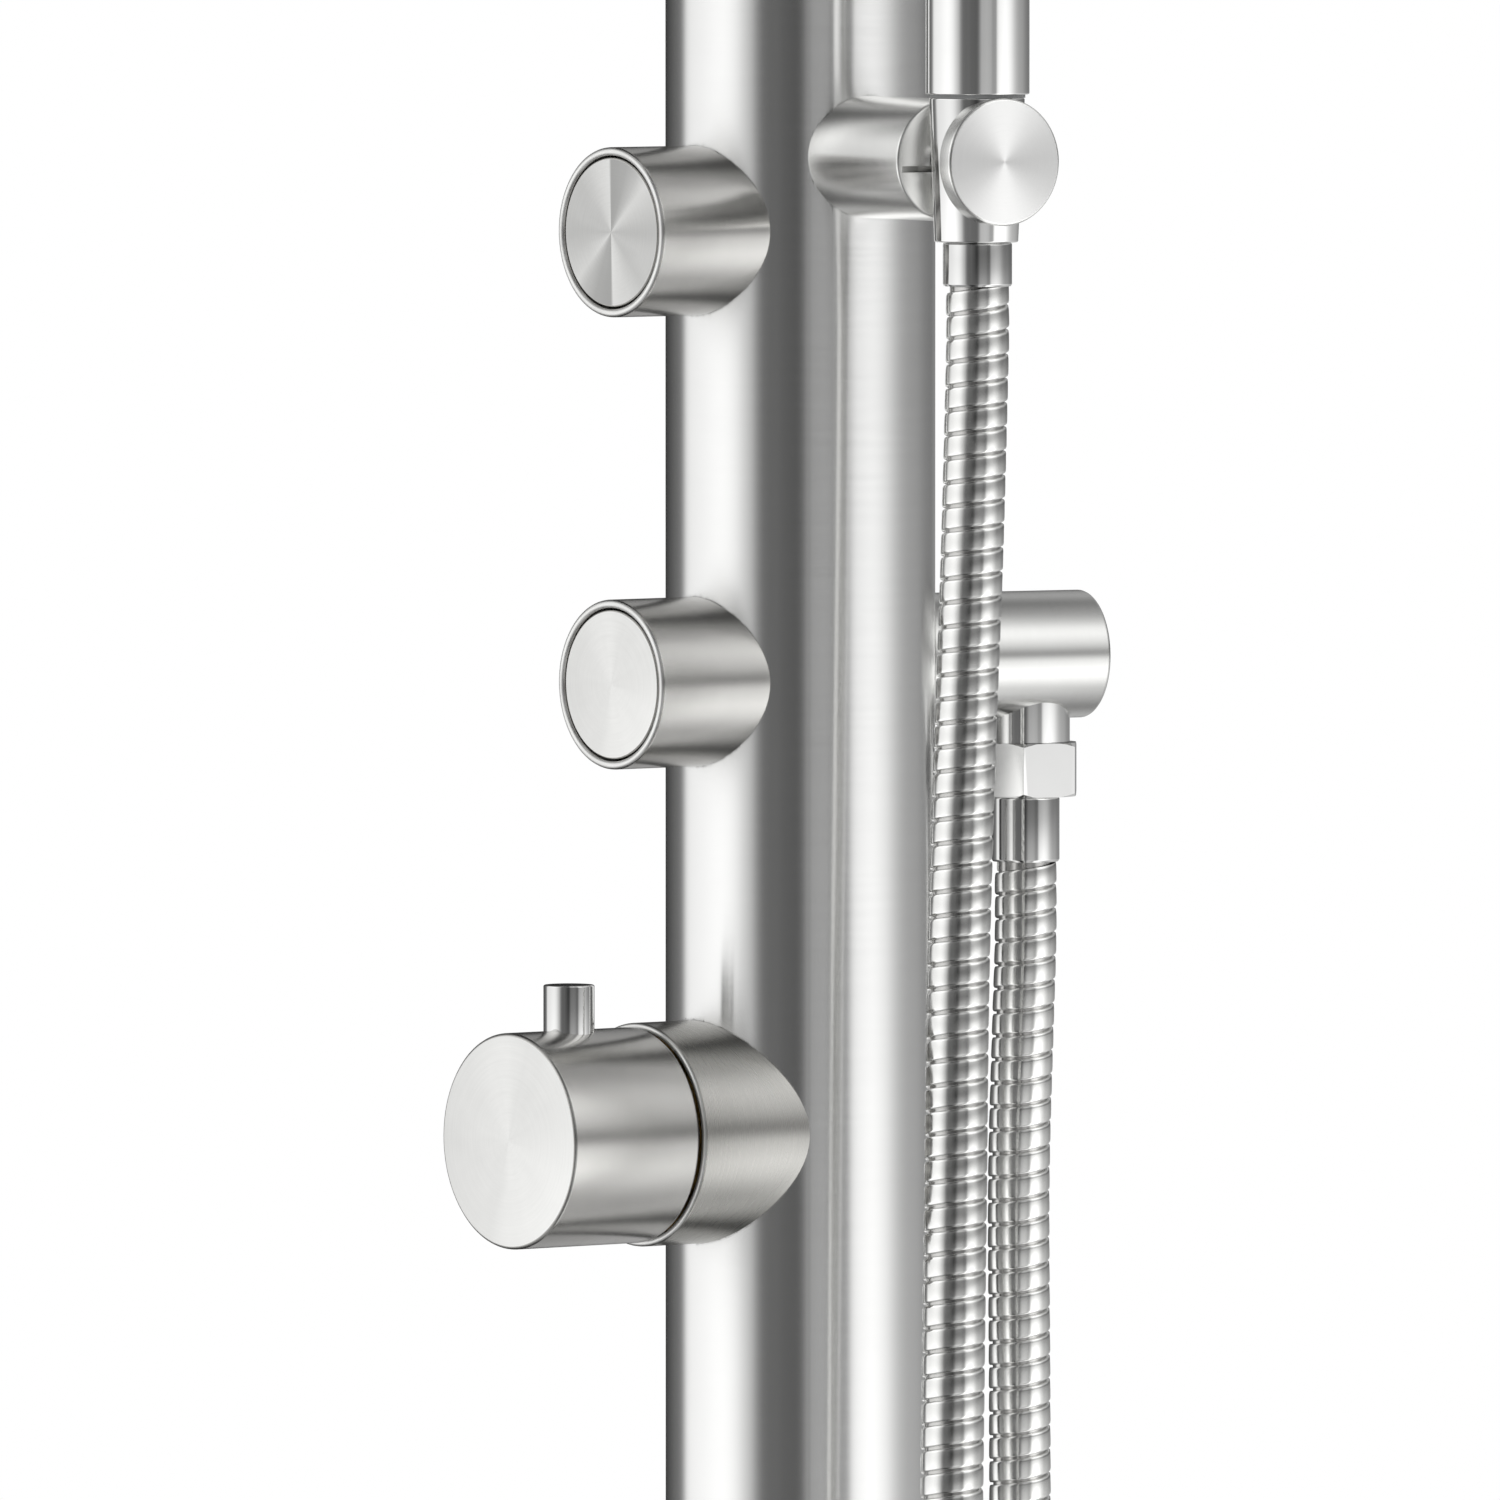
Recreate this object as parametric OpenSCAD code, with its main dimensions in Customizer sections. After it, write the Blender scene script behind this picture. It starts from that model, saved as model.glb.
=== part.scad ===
// Free-standing outdoor shower column in brushed stainless steel, in millimetres.
// The origin is the centre of the base plate's underside, +Z runs up the column and
// -Y is the side of the controls and of the overhead shower.
// Azimuths are measured round the column from -Y towards +X.

/* [Column] */
// Outer diameter of the column tube
column_d = 60; // [56:0.5:70]
// Wall of the column tube
column_wall = 2; // [1.5:0.1:2.5]
// Height of the column tube's upper end above the axis of the overhead arm
column_over_arm = 50; // [30:5:150]
// Thickness of the disc that closes the column
column_cap_t = 3; // [2:0.5:8]
// Depth of the cap's plug inside the tube
column_plug_h = 12; // [6:1:20]

/* [Base] */
// Diameter of the base plate
base_d = 240; // [230:5:320]
// Thickness of the base plate
base_t = 10; // [8:1:20]
// Distance of the floor anchors from the rim of the base plate
anchor_inset = 25; // [18:1:35]
// Number of floor anchors
anchor_count = 4; // [3:1:8]
// Diameter of the anchor holes
anchor_hole_d = 11; // [8:0.5:14]
// Height of the spigot that the column slides over
spigot_h = 40; // [25:1:60]
// Wall of that spigot
spigot_wall = 3; // [2:0.1:3.2]
// Diameter of the collar round the foot of the column
collar_d = 84; // [78:1:110]
// Height of that collar
collar_h = 14; // [8:1:20]
// Diameter of the screws that hold the column on its spigot
base_screw_d = 6; // [4:0.5:8]
// Number of those screws
base_screw_count = 3; // [2:1:4]

/* [Water supply] */
// Distance of each inlet from the column's axis
inlet_offset = 12.5; // [12.3:0.1:12.6]
// Outer diameter of an inlet fitting
inlet_d = 23; // [21:0.5:24]
// Diameter of the half-inch female thread in an inlet
inlet_thread_d = 19; // [15:0.5:19]
// Depth of that thread
inlet_thread_depth = 14; // [10:1:18]
// Height of an inlet's mouth above the floor
inlet_z = 2; // [1:0.5:6]
// Length of an inlet fitting
inlet_len = 24; // [22:1:34]
// Outer diameter of the supply, mixed-water and riser pipes
pipe_d = 15; // [12:0.5:16]
// Wall of those pipes
pipe_wall = 1; // [0.8:0.1:1.5]

/* [Mixer] */
// Height of the mixer's axis
mixer_z = 1050; // [900:10:1060]
// Diameter of the turning knob
knob_d = 47.8; // [46:0.2:49.4]
// Distance of the knob's face from the column's axis
knob_face = 82.5; // [78:0.5:95]
// Wall of the knob's shell
knob_wall = 2.4; // [1.5:0.1:2.6]
// Thickness of the knob's face
knob_face_t = 3; // [2:0.5:4]
// Diameter of the fixed sleeve behind the knob
mixer_sleeve_d = 49.6; // [49.4:0.2:52]
// Wall of that sleeve
mixer_sleeve_wall = 1.6; // [1:0.1:2]
// Distance of the sleeve's front edge from the column's axis
mixer_sleeve_front = 46.6; // [45:0.2:50]
// Running gap between the sleeve and the knob
knob_gap = 0.8; // [0.5:0.1:1.5]
// Diameter of the lever pin
lever_d = 11.3; // [8:0.1:12]
// Distance of the lever pin from the column's axis
lever_at = 65.5; // [62:0.5:70]
// Height of the lever pin's end above the mixer's axis
lever_top = 34; // [30:0.5:60]

/* [Push buttons] */
// Height of the hand shower's button
hand_button_z = 1150; // [1150:1:1152]
// Height of the overhead shower's button
head_button_z = 1250; // [1240:1:1252]
// Diameter of a button's barrel
barrel_d = 37.6; // [37:0.1:40]
// Distance of the barrels' front edge from the column's axis
barrel_face = 54; // [53:0.5:60]
// Wall of a barrel, which is the bright rim round the button
barrel_wall = 1.9; // [1.5:0.1:2]
// Gap between a button and its barrel
button_gap = 0.4; // [0.3:0.05:0.8]
// Thickness of a button
button_t = 4.6; // [3:0.1:5]
// How far a button's face lies behind the barrel's edge
button_recess = 0.4; // [0:0.1:1]
// How far a button travels
button_travel = 3.5; // [2:0.1:4]

/* [Handset holder] */
// Height of the holder's axis
holder_z = 1266.5; // [1260:0.5:1275]
// Azimuth of the holder
holder_azimuth = 81; // [75:1:90]
// Diameter of the holder's arm
holder_arm_d = 27; // [26:0.5:30]
// Distance of the arm's end from the column's axis
holder_arm_end = 66.5; // [63:0.5:67]
// Distance of the socket's axis from the column's axis
socket_at = 78.3; // [78:0.1:79]
// Outer diameter of the socket at its top
socket_top_d = 21.3; // [21:0.1:22]
// Outer diameter of the socket at its bottom
socket_bottom_d = 19; // [18.9:0.1:20]
// Wall of the socket
socket_wall = 1.2; // [0.8:0.1:1.2]
// Height of the socket above the holder's axis
socket_up = 14; // [12:0.5:15]
// Depth of the socket below the holder's axis
socket_down = 17.7; // [16:0.1:19]
// Width of the slot that the hose passes through
socket_slot_w = 14.6; // [14.2:0.1:15]
// Diameter of the disc
disc_d = 28; // [27:0.5:32]
// Distance of the disc's face from the column's axis
disc_face = 90.2; // [90:0.1:93]
// Thickness of the disc
disc_t = 4.6; // [3.5:0.1:5]

/* [Handset] */
// Diameter of the handset's stem
handset_d = 22.8; // [22:0.1:24]
// Length of the stem
handset_len = 205; // [180:5:260]
// Wall of the stem
handset_wall = 1.6; // [1:0.1:2.5]
// Length of the spray plate
spray_len = 54; // [40:1:70]
// Width of the spray plate
spray_w = 13; // [10:0.5:14]
// Rows of nozzles along the spray plate
spray_rows = 9; // [5:1:11]

/* [Hose] */
// Outer diameter of the metal hose
hose_d = 14; // [13:0.1:14]
// Bore of the hose
hose_bore = 8; // [6:0.5:9]
// Diameter of the crimped ferrules
ferrule_d = 15.2; // [14.5:0.1:15.4]
// Length of the upper ferrule below its nut
upper_ferrule_len = 9.6; // [8:0.1:12]
// Length of the lower ferrule below its nut
lower_ferrule_len = 14.5; // [10:0.1:18]
// Size of the hexagonal nut across its flats
nut_flats = 22.4; // [22:0.1:24]
// Height of the hexagonal nut
nut_h = 12; // [10:0.5:14]

/* [Hose outlet] */
// Height of the outlet's axis
outlet_z = 1154; // [1152:1:1158]
// Azimuth of the outlet
outlet_azimuth = 168; // [160:1:175]
// Diameter of the outlet's barrel
outlet_d = 28.6; // [27:0.2:32]
// Distance of the barrel's closed end from the column's axis
outlet_end = 70.8; // [70:0.2:78]
// Distance of the nipple from the column's axis
nipple_at = 56.4; // [54:0.2:57]
// Diameter of the nipple's neck
neck_d = 19.8; // [16:0.1:20]
// Length of the neck below the barrel
neck_len = 5.2; // [4:0.1:8]

/* [Overhead shower] */
// Height of the arm's axis
arm_z = 2150; // [2100:5:2160]
// Diameter of the arm
arm_d = 28; // [26:0.5:32]
// Wall of the arm
arm_wall = 2; // [1.5:0.1:2.5]
// Distance of the arm's closed end from the column's axis
arm_end = 330; // [280:5:420]
// How far the ball joint lies behind the arm's end
ball_inset = 18; // [16:1:24]
// Diameter of the ball
ball_d = 22; // [20:0.5:24]
// Diameter of the head
head_d = 200; // [150:5:260]
// Thickness of the head at its rim
head_rim_t = 6; // [4:0.5:10]
// Number of rings of nozzles
nozzle_rings = 5; // [3:1:5]
// Diameter of a nozzle
nozzle_d = 3.4; // [2.5:0.1:4]

/* [Hidden] */
$fn = 96;

// Clearances, shared by every fit
overrun = 1;
seat = 0.05;
fit = 0.05;
loose = 0.3;

// Column and base
column_r = column_d / 2;
column_top = arm_z + column_over_arm;
column_in_r = column_r - column_wall;
spigot_r = column_in_r - seat;
spigot_in_r = spigot_r - spigot_wall;
edge = 1;
collar_edge = 4;
anchor_pcd = base_d - 2 * anchor_inset;
base_screw_turn = 60;
base_screw_at_share = 0.55;
base_screw_z = base_t + spigot_h * base_screw_at_share;
base_screw_reach = spigot_wall + column_wall;

// Water pipes inside the column
inlet_top = inlet_z + inlet_len;
pipe_in_d = pipe_d - 2 * pipe_wall;
socket_depth = 8;
mixer_body_r = 24;
mixer_body_half = 32;
valve_body_r = 20;
valve_body_half = 19;
elbow_r = 13;
elbow_half = 16;

// Mixer, measured outwards along its own axis
mixer_azimuth = 0;
mixer_boss_d = 40;
mixer_boss_end = 34;
cartridge_d = 34.8;
cartridge_floor = 12;
cartridge_end = 36;
cartridge_neck_d = 26;
cartridge_neck_end = 44;
ring_nut_d = 44;
ring_nut_t = 9;
ring_nut_at = 37;
spindle_d = 8;
spindle_start = 24;
knob_back = mixer_sleeve_front + knob_gap;
knob_edge = 0.7;
hub_d = 18;
hub_step = 3;
hub_back = knob_back + hub_step;
spindle_short = 2;
spindle_end = knob_face - knob_face_t - spindle_short;
lever_stud_d = 5;
lever_edge = 0.5;
lever_sunk_share = 0.25;
hub_screw_tip = spindle_d / 2 + fit;

// Push valves, measured outwards along their own axis
valve_boss_d = 26;
valve_boss_end = 36;
valve_bore_d = 20;
valve_floor = 12;
valve_head_d = 25;
valve_head_t = 3;
valve_end = valve_boss_end + valve_head_t;
plunger_d = 8;
plunger_start = 22;
button_d = barrel_d - 2 * barrel_wall - 2 * button_gap;
button_face = barrel_face - button_recess;
button_back = button_face - button_t;
button_edge = 0.4;
rim_r = barrel_wall / 2;
spring_d = 15;
spring_wire = 1.3;
spring_turns = 4.5;
spring_steps = 14;
spring_sides = 6;

// Holder, measured outwards along its own axis
holder_bolt_d = 8;
holder_bolt_head_d = 13;
holder_bolt_head_t = 4;
holder_bolt_end = 45;
holder_bolt_hex_share = 0.7;
spigot_d = 10;
spigot_start = 49;
arm_slit = 1.8;
arm_slit_depth = 1.6;
arm_slit_drop = 3.3;
socket_top = holder_z + socket_up;
socket_bottom = holder_z - socket_down;
socket_bore_top_d = socket_top_d - 2 * socket_wall;
socket_bore_bottom_d = socket_bottom_d - 2 * socket_wall;
holder_edge = 0.5;

// Handset, and the nut and ferrule at the hose's upper end
stem_lift = 0.7;
stem_bottom = socket_top + stem_lift;
stem_top = stem_bottom + handset_len;
stem_edge = 0.8;
stem_floor = 4;
stub_d = 14.4;
stub_bore = 9;
stub_len = 15.4;
cone_top_gap = 0.6;
cone_foot_gap = 0.1;
cone_top = stem_bottom - cone_top_gap;
cone_bottom = socket_bottom + cone_foot_gap;
cone_top_d = socket_bore_top_d - 2 * loose;
cone_bottom_d = socket_bore_bottom_d - 2 * loose;
neck_bore = 9.6;
ferrule_neck_d = 9.2;
flange_t = 2;
washer_t = 2;
upper_flange_d = 13;
ferrule_gap = 0.2;
upper_ferrule_top = cone_bottom - ferrule_gap;
upper_ferrule_bottom = upper_ferrule_top - upper_ferrule_len;
upper_flange_top = stem_bottom - stub_len - washer_t;
upper_flange_bottom = upper_flange_top - flange_t;
cap_t = 3;
cap_plug_h = 6;
spray_flat = 8.8;
spray_t = 1.4;
spray_gap = 0.3;
spray_back = spray_t + edge + 2 * seat;
spray_inset = 7;
spray_top = stem_top - spray_inset;
spray_nozzle_d = 1.8;
spray_nozzle_out = 0.7;
spray_columns = [-4, 0, 4];

// Outlet, measured outwards along its own axis, and the hose's lower end
outlet_wall = 2;
feed_d = 14;
feed_block_from = 44;
neck_sunk = 8;
neck_top = outlet_z - neck_sunk;
neck_bottom = outlet_z - outlet_d / 2 - neck_len;
nut_top = neck_bottom;
nut_bottom = nut_top - nut_h;
nipple_thread_d = 20;
nipple_bore = 10;
nut_lip = 2.5;
nut_edge = 1;
nut_turn = 1;
lower_flange_d = 19;
lower_ferrule_top = nut_bottom - ferrule_gap;
lower_ferrule_bottom = lower_ferrule_top - lower_ferrule_len;
lower_flange_bottom = nut_bottom + nut_lip + seat;
lower_flange_top = lower_flange_bottom + flange_t;

// Overhead shower, heights measured from the ball's centre
ball_at = arm_end - ball_inset;
ball_r = ball_d / 2;
ball_drop = 20;
stem_sunk_share = 0.25;
ball_z = arm_z - arm_d / 2 - ball_drop;
stem_d = 9;
stem_collar_d = 18;
stem_collar_bottom = 15;
seat_wall = 2;
seat_r = ball_r + seat_wall;
seat_half = 5;
cavity_r = seat_r + 2 * fit;
ball_nut_d = 34;
ball_nut_top = 10.3;
ball_nut_bottom = -6;
ball_mouth_d = 18.4;
head_boss_bottom = -18;
head_top_z = -20;
head_wall = 1.2;
head_face_t = 1.6;
mat_t = 1;
head_edge = 1.5;
head_r = head_d / 2;
head_bottom_z = head_top_z - head_rim_t;
face_inset = 2.5;
face_r = head_r - face_inset;
nozzle_out = 1.2;
nozzle_pitch_share = 0.9;
ring_pitch = face_r * nozzle_pitch_share / nozzle_rings;
nozzle_per_ring = 6;

// Route of the hanging hose, from the upper ferrule round the loop to the lower ferrule
hose_route = [
    [77.3, -12.2, 1239], [77.3, -12.2, 1232], [77.3, -12.2, 1225], [77.4, -13.8, 1180], [77.5, -16, 1135],
    [78.5, -18.5, 1089], [80, -20.5, 1040], [81.5, -22.5, 990], [83, -24.5, 935],
    [84.5, -26, 870], [86, -26.5, 800], [87, -26.5, 730], [88, -26, 660],
    [89, -24.6, 600], [89.9, -23.6, 545], [84.4, -17.3, 514.2], [67.7, -2, 491.7], [44.6, 18.2, 483.5],
    [21.5, 38.5, 491.7], [4.9, 53.8, 514.2], [-0.6, 60.2, 545], [-0.4, 61, 600], [0.4, 61, 660],
    [2, 61, 730], [3, 60.5, 800], [4.5, 60, 870], [6, 58.5, 935], [7.5, 57, 990],
    [9, 55.5, 1035], [11, 55, 1070], [11.7, 55.2, 1090], [11.7, 55.2, 1107.7]
];
hose_ribs = 196;
hose_sides = 8;
hose_crest_share = 0.5;
hose_groove = 0.9;
hose_bore_rings = 44;
hose_steps = 8;
hose_across = [0.629, 0.777, 0];

// Colours of the finishes
brushed = [0.74, 0.74, 0.73];
polished = [0.86, 0.86, 0.87];
brass = [0.78, 0.66, 0.38];
copper = [0.76, 0.48, 0.34];
rubber = [0.12, 0.12, 0.12];
silicone = [0.55, 0.56, 0.57];
plastic = [0.88, 0.88, 0.86];

// Turns a child's +Z outwards at an azimuth and its +Y upwards, at a height on the column
module toward(azimuth, height) {
    translate([0, 0, height]) rotate([0, 0, azimuth]) rotate([90, 0, 0]) children();
}

// Moves an upright child to a distance from the column's axis
module upright(azimuth, distance) {
    rotate([0, 0, azimuth]) translate([0, -distance, 0]) children();
}

module rod(d, from, to) {
    translate([0, 0, from]) cylinder(d = d, h = to - from);
}

module hollow(d, bore, from, to) {
    difference() {
        rod(d, from, to);
        rod(bore, from - overrun, to + overrun);
    }
}

// Round bar with a chamfer at its far end, and one at its near end where near_edge is given
module turned(d, from, to, far_edge, near_edge = 0) {
    r = d / 2;
    rotate_extrude() polygon([
        [0, from], [r - near_edge, from], [r, from + near_edge],
        [r, to - far_edge], [r - far_edge, to], [0, to]
    ]);
}

// What the column tube fills, with a seat's clearance, for cutting saddles
module column_space(height, half) {
    translate([0, 0, height - half]) cylinder(r = column_r + seat, h = 2 * half);
}

module base_plate() color(brushed) {
    difference() {
        union() {
            rotate_extrude() polygon([
                [0, 0], [base_d / 2 - edge, 0], [base_d / 2, edge],
                [base_d / 2, base_t - edge], [base_d / 2 - edge, base_t], [0, base_t]
            ]);
            rod(2 * spigot_r, base_t - edge, base_t + spigot_h);
        }
        rod(2 * spigot_in_r, -overrun, base_t + spigot_h + overrun);
        for (i = [0:anchor_count - 1])
            rotate([0, 0, (i + 0.5) * 360 / anchor_count])
                translate([anchor_pcd / 2, 0, 0]) rod(anchor_hole_d, -overrun, base_t + overrun);
        base_screw_places(base_screw_d);
    }
}

module base_screw_places(d) {
    for (i = [0:base_screw_count - 1])
        toward(base_screw_turn + i * 360 / base_screw_count, base_screw_z)
            rod(d, spigot_in_r - overrun, column_r + overrun);
}

module base_collar() color(brushed) difference() {
    translate([0, 0, base_t]) turned(collar_d, 0, collar_h, collar_edge);
    rod(column_d + 2 * seat, 0, base_t + collar_h + overrun);
}

module base_screws() color(polished) for (i = [0:base_screw_count - 1])
    toward(base_screw_turn + i * 360 / base_screw_count, base_screw_z) difference() {
        rod(base_screw_d - 2 * fit, spigot_in_r + edge, column_r - edge);
        translate([0, 0, column_r - 3 * edge]) cylinder(d = base_screw_d / 2, h = 3 * edge, $fn = 6);
    }

module column() color(brushed) difference() {
    hollow(column_d, 2 * column_in_r, base_t, column_top);
    base_screw_places(base_screw_d);
    toward(mixer_azimuth, mixer_z) rod(mixer_boss_d + 2 * loose, 0, column_d);
    for (z = [hand_button_z, head_button_z])
        toward(mixer_azimuth, z) rod(valve_boss_d + 2 * loose, 0, column_d);
    toward(holder_azimuth, holder_z) rod(holder_bolt_d + 2 * loose, 0, column_d);
    toward(outlet_azimuth, outlet_z) rod(feed_d + 2 * loose, 0, column_d);
    toward(mixer_azimuth, arm_z) rod(pipe_d + 2 * loose, 0, column_d);
}

module column_cap() color(brushed) translate([0, 0, column_top]) {
    turned(column_d, 0, column_cap_t, edge);
    rod(2 * spigot_r, -column_plug_h, edge);
}

// Brass inlet with a female thread below and a socket for the pipe above
module inlet() difference() {
    turned(inlet_d, inlet_z, inlet_top, edge, edge);
    rod(inlet_thread_d, 0, inlet_z + inlet_thread_depth);
    rod(pipe_in_d, inlet_z, inlet_top + overrun);
    rod(pipe_d + 2 * fit, inlet_top - socket_depth, inlet_top + overrun);
}

module supply_pipe() hollow(pipe_d, pipe_in_d,
    inlet_top - socket_depth + seat, mixer_z - mixer_body_half + socket_depth - seat);

module hot_inlet() color(brass) translate([-inlet_offset, 0, 0]) inlet();

module cold_inlet() color(brass) translate([inlet_offset, 0, 0]) inlet();

module hot_pipe() color(copper) translate([-inlet_offset, 0, 0]) supply_pipe();

module cold_pipe() color(copper) translate([inlet_offset, 0, 0]) supply_pipe();

module mixer_body() color(brass) difference() {
    union() {
        rod(2 * mixer_body_r, mixer_z - mixer_body_half, mixer_z + mixer_body_half);
        toward(mixer_azimuth, mixer_z) rod(mixer_boss_d, 0, mixer_boss_end);
    }
    for (side = [-1, 1]) translate([side * inlet_offset, 0, 0])
        rod(pipe_d + 2 * fit, 0, mixer_z - mixer_body_half + socket_depth);
    rod(pipe_d + 2 * fit, mixer_z + mixer_body_half - socket_depth, mixer_z + column_d);
    toward(mixer_azimuth, mixer_z) rod(cartridge_d + 2 * fit, cartridge_floor, knob_face);
}

module mixer_cartridge() color(plastic) toward(mixer_azimuth, mixer_z) difference() {
    union() {
        rod(cartridge_d, cartridge_floor + seat, cartridge_end);
        rod(cartridge_neck_d, cartridge_floor + seat, cartridge_neck_end);
    }
    rod(spindle_d + 2 * fit, spindle_start - edge, knob_face);
}

module mixer_ring_nut() color(brass) toward(mixer_azimuth, mixer_z) difference() {
    rod(ring_nut_d, ring_nut_at - ring_nut_t + 2 * edge, ring_nut_at + 2 * edge);
    rod(mixer_boss_d + 2 * fit, 0, mixer_boss_end + seat);
    rod(cartridge_d + 2 * fit, 0, cartridge_end + seat);
    rod(cartridge_neck_d + 2 * fit, 0, knob_face);
}

module mixer_sleeve() color(brushed) difference() {
    toward(mixer_azimuth, mixer_z) difference() {
        turned(mixer_sleeve_d, 0, mixer_sleeve_front, knob_edge);
        rod(mixer_sleeve_d - 2 * mixer_sleeve_wall, -overrun, mixer_sleeve_front + overrun);
    }
    column_space(mixer_z, column_d);
}

module mixer_spindle() color(brass)
    toward(mixer_azimuth, mixer_z) rod(spindle_d, spindle_start, spindle_end);

module mixer_knob() color(brushed) toward(mixer_azimuth, mixer_z) difference() {
    turned(knob_d, knob_back, knob_face, knob_edge, knob_edge);
    difference() {
        rod(knob_d - 2 * knob_wall, knob_back - overrun, knob_face - knob_face_t);
        rod(hub_d, hub_back, knob_face);
    }
    rod(spindle_d + 2 * fit, 0, spindle_end + seat);
    translate([0, 0, lever_at]) rotate([-90, 0, 0]) rod(lever_stud_d + 2 * fit, 0, knob_d);
}

module mixer_lever() color(polished) toward(mixer_azimuth, mixer_z)
    translate([0, 0, lever_at]) rotate([-90, 0, 0]) union() {
        difference() {
            turned(lever_d, knob_d / 2 - lever_d * lever_sunk_share, lever_top, lever_edge);
            rotate([90, 0, 0]) rod(knob_d + 2 * seat, -knob_d, knob_d);
        }
        rod(lever_stud_d, hub_screw_tip, knob_d / 2 + edge);
    }

// Upright pipe between two sockets
module riser(from, to) hollow(pipe_d, pipe_in_d, from - socket_depth + seat, to + socket_depth - seat);

module mixed_water_pipe() color(copper)
    riser(mixer_z + mixer_body_half, hand_button_z - valve_body_half);

module link_pipe() color(copper)
    riser(hand_button_z + valve_body_half, head_button_z - valve_body_half);

module riser_pipe() color(copper)
    riser(head_button_z + valve_body_half, arm_z - elbow_half);

// Brass block with a socket below and above and a boss for the push valve
module valve_body(z) color(brass) difference() {
    union() {
        rod(2 * valve_body_r, z - valve_body_half, z + valve_body_half);
        toward(mixer_azimuth, z) rod(valve_boss_d, 0, valve_boss_end);
    }
    rod(pipe_d + 2 * fit, z - column_d, z - valve_body_half + socket_depth);
    rod(pipe_d + 2 * fit, z + valve_body_half - socket_depth, z + column_d);
    toward(mixer_azimuth, z) rod(valve_bore_d, valve_floor, barrel_face);
}

module valve_cartridge(z) color(plastic) toward(mixer_azimuth, z) difference() {
    union() {
        rod(valve_bore_d - 2 * fit, valve_floor + seat, valve_end);
        rod(valve_head_d, valve_boss_end + seat, valve_end);
    }
    rod(plunger_d + 2 * fit, plunger_start - button_travel - edge, barrel_face);
}

// Barrel with a rounded rim, saddled on the column
module button_barrel(z) color(brushed) difference() {
    toward(mixer_azimuth, z) rotate_extrude() translate([barrel_d / 2 - barrel_wall, 0]) union() {
        square([barrel_wall, barrel_face - rim_r]);
        translate([rim_r, barrel_face - rim_r]) circle(r = rim_r);
    }
    column_space(z, column_d);
}

module push_button(z) color(brushed) toward(mixer_azimuth, z) {
    turned(button_d, button_back, button_face, button_edge);
    rod(plunger_d, plunger_start, button_back + edge);
}

// Coil spring between a valve's head and the back of its button, as one unbroken tube
module button_spring(z) {
    start = valve_end + spring_wire / 2 + fit;
    rise = button_back - valve_end - spring_wire - 2 * fit;
    rings = spring_turns * spring_steps;
    mean_r = (spring_d - spring_wire) / 2;
    points = [for (i = [0:rings], k = [0:spring_sides - 1])
        let (a = i * 360 / spring_steps, b = k * 360 / spring_sides,
            r = mean_r + cos(b) * spring_wire / 2)
        [r * cos(a), r * sin(a), start + rise * i / rings + sin(b) * spring_wire / 2]];
    color(polished) toward(mixer_azimuth, z)
        polyhedron(points, tube_faces(rings + 1, spring_sides), convexity = 8);
}

// Triangles of a closed tube of rings that each have the same number of sides
function tube_faces(rings, sides) = concat(
    [for (i = [0:rings - 2], k = [0:sides - 1], half = [0, 1])
        let (n = (k + 1) % sides, a = i * sides + k, b = i * sides + n,
            c = a + sides, d = b + sides)
        half == 0 ? [a, c, b] : [b, c, d]],
    [for (k = [1:sides - 2]) [0, k, k + 1]],
    [for (k = [1:sides - 2]) let (last = (rings - 1) * sides) [last, last + k + 1, last + k]]
);

module hand_valve_body() difference() {
    valve_body(hand_button_z);
    toward(outlet_azimuth, outlet_z) rod(feed_d + 2 * fit, valve_floor, column_d);
}

module hand_valve_cartridge() valve_cartridge(hand_button_z);

module hand_button_barrel() button_barrel(hand_button_z);

module hand_button() push_button(hand_button_z);

module hand_button_spring() button_spring(hand_button_z);

module head_valve_body() valve_body(head_button_z);

module head_valve_cartridge() valve_cartridge(head_button_z);

module head_button_barrel() button_barrel(head_button_z);

module head_button() push_button(head_button_z);

module head_button_spring() button_spring(head_button_z);

module arm_elbow() color(brass) difference() {
    rod(2 * elbow_r, arm_z - elbow_half, arm_z + elbow_half);
    rod(pipe_d + 2 * fit, 0, arm_z - elbow_half + socket_depth);
    toward(mixer_azimuth, arm_z) rod(pipe_d + 2 * fit, elbow_r - socket_depth, column_d);
}

module head_arm() color(brushed) difference() {
    toward(mixer_azimuth, arm_z) difference() {
        turned(arm_d, 0, arm_end, edge);
        rod(arm_d - 2 * arm_wall, -overrun, arm_end - 2 * arm_wall);
    }
    column_space(arm_z, column_d);
    upright(mixer_azimuth, ball_at) rod(stem_collar_d + 2 * fit, ball_z, arm_z);
}

// Water pipe of the arm, ending in a block over the ball joint
module arm_pipe() color(copper) toward(mixer_azimuth, arm_z) difference() {
    union() {
        rod(pipe_d, elbow_r - socket_depth + seat, ball_at);
        rod(arm_d - 2 * arm_wall - 2 * seat, ball_at - stem_collar_d, arm_end - 2 * arm_wall - seat);
    }
    rod(pipe_in_d, 0, ball_at);
    translate([0, 0, ball_at]) rotate([90, 0, 0])
        rod(stem_collar_d + 2 * fit, arm_d * stem_sunk_share, arm_d);
}

// Fixed collar, stem and ball under the arm
module ball_stem() color(polished) upright(mixer_azimuth, ball_at) difference() {
    union() {
        turned(stem_collar_d, ball_z + stem_collar_bottom, arm_z - arm_d * stem_sunk_share - seat, 0, edge);
        rod(stem_d, ball_z, ball_z + stem_collar_bottom + edge);
        translate([0, 0, ball_z]) sphere(r = ball_r);
    }
    rod(stem_d / 2, ball_z - ball_r - overrun, arm_z);
}

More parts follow.
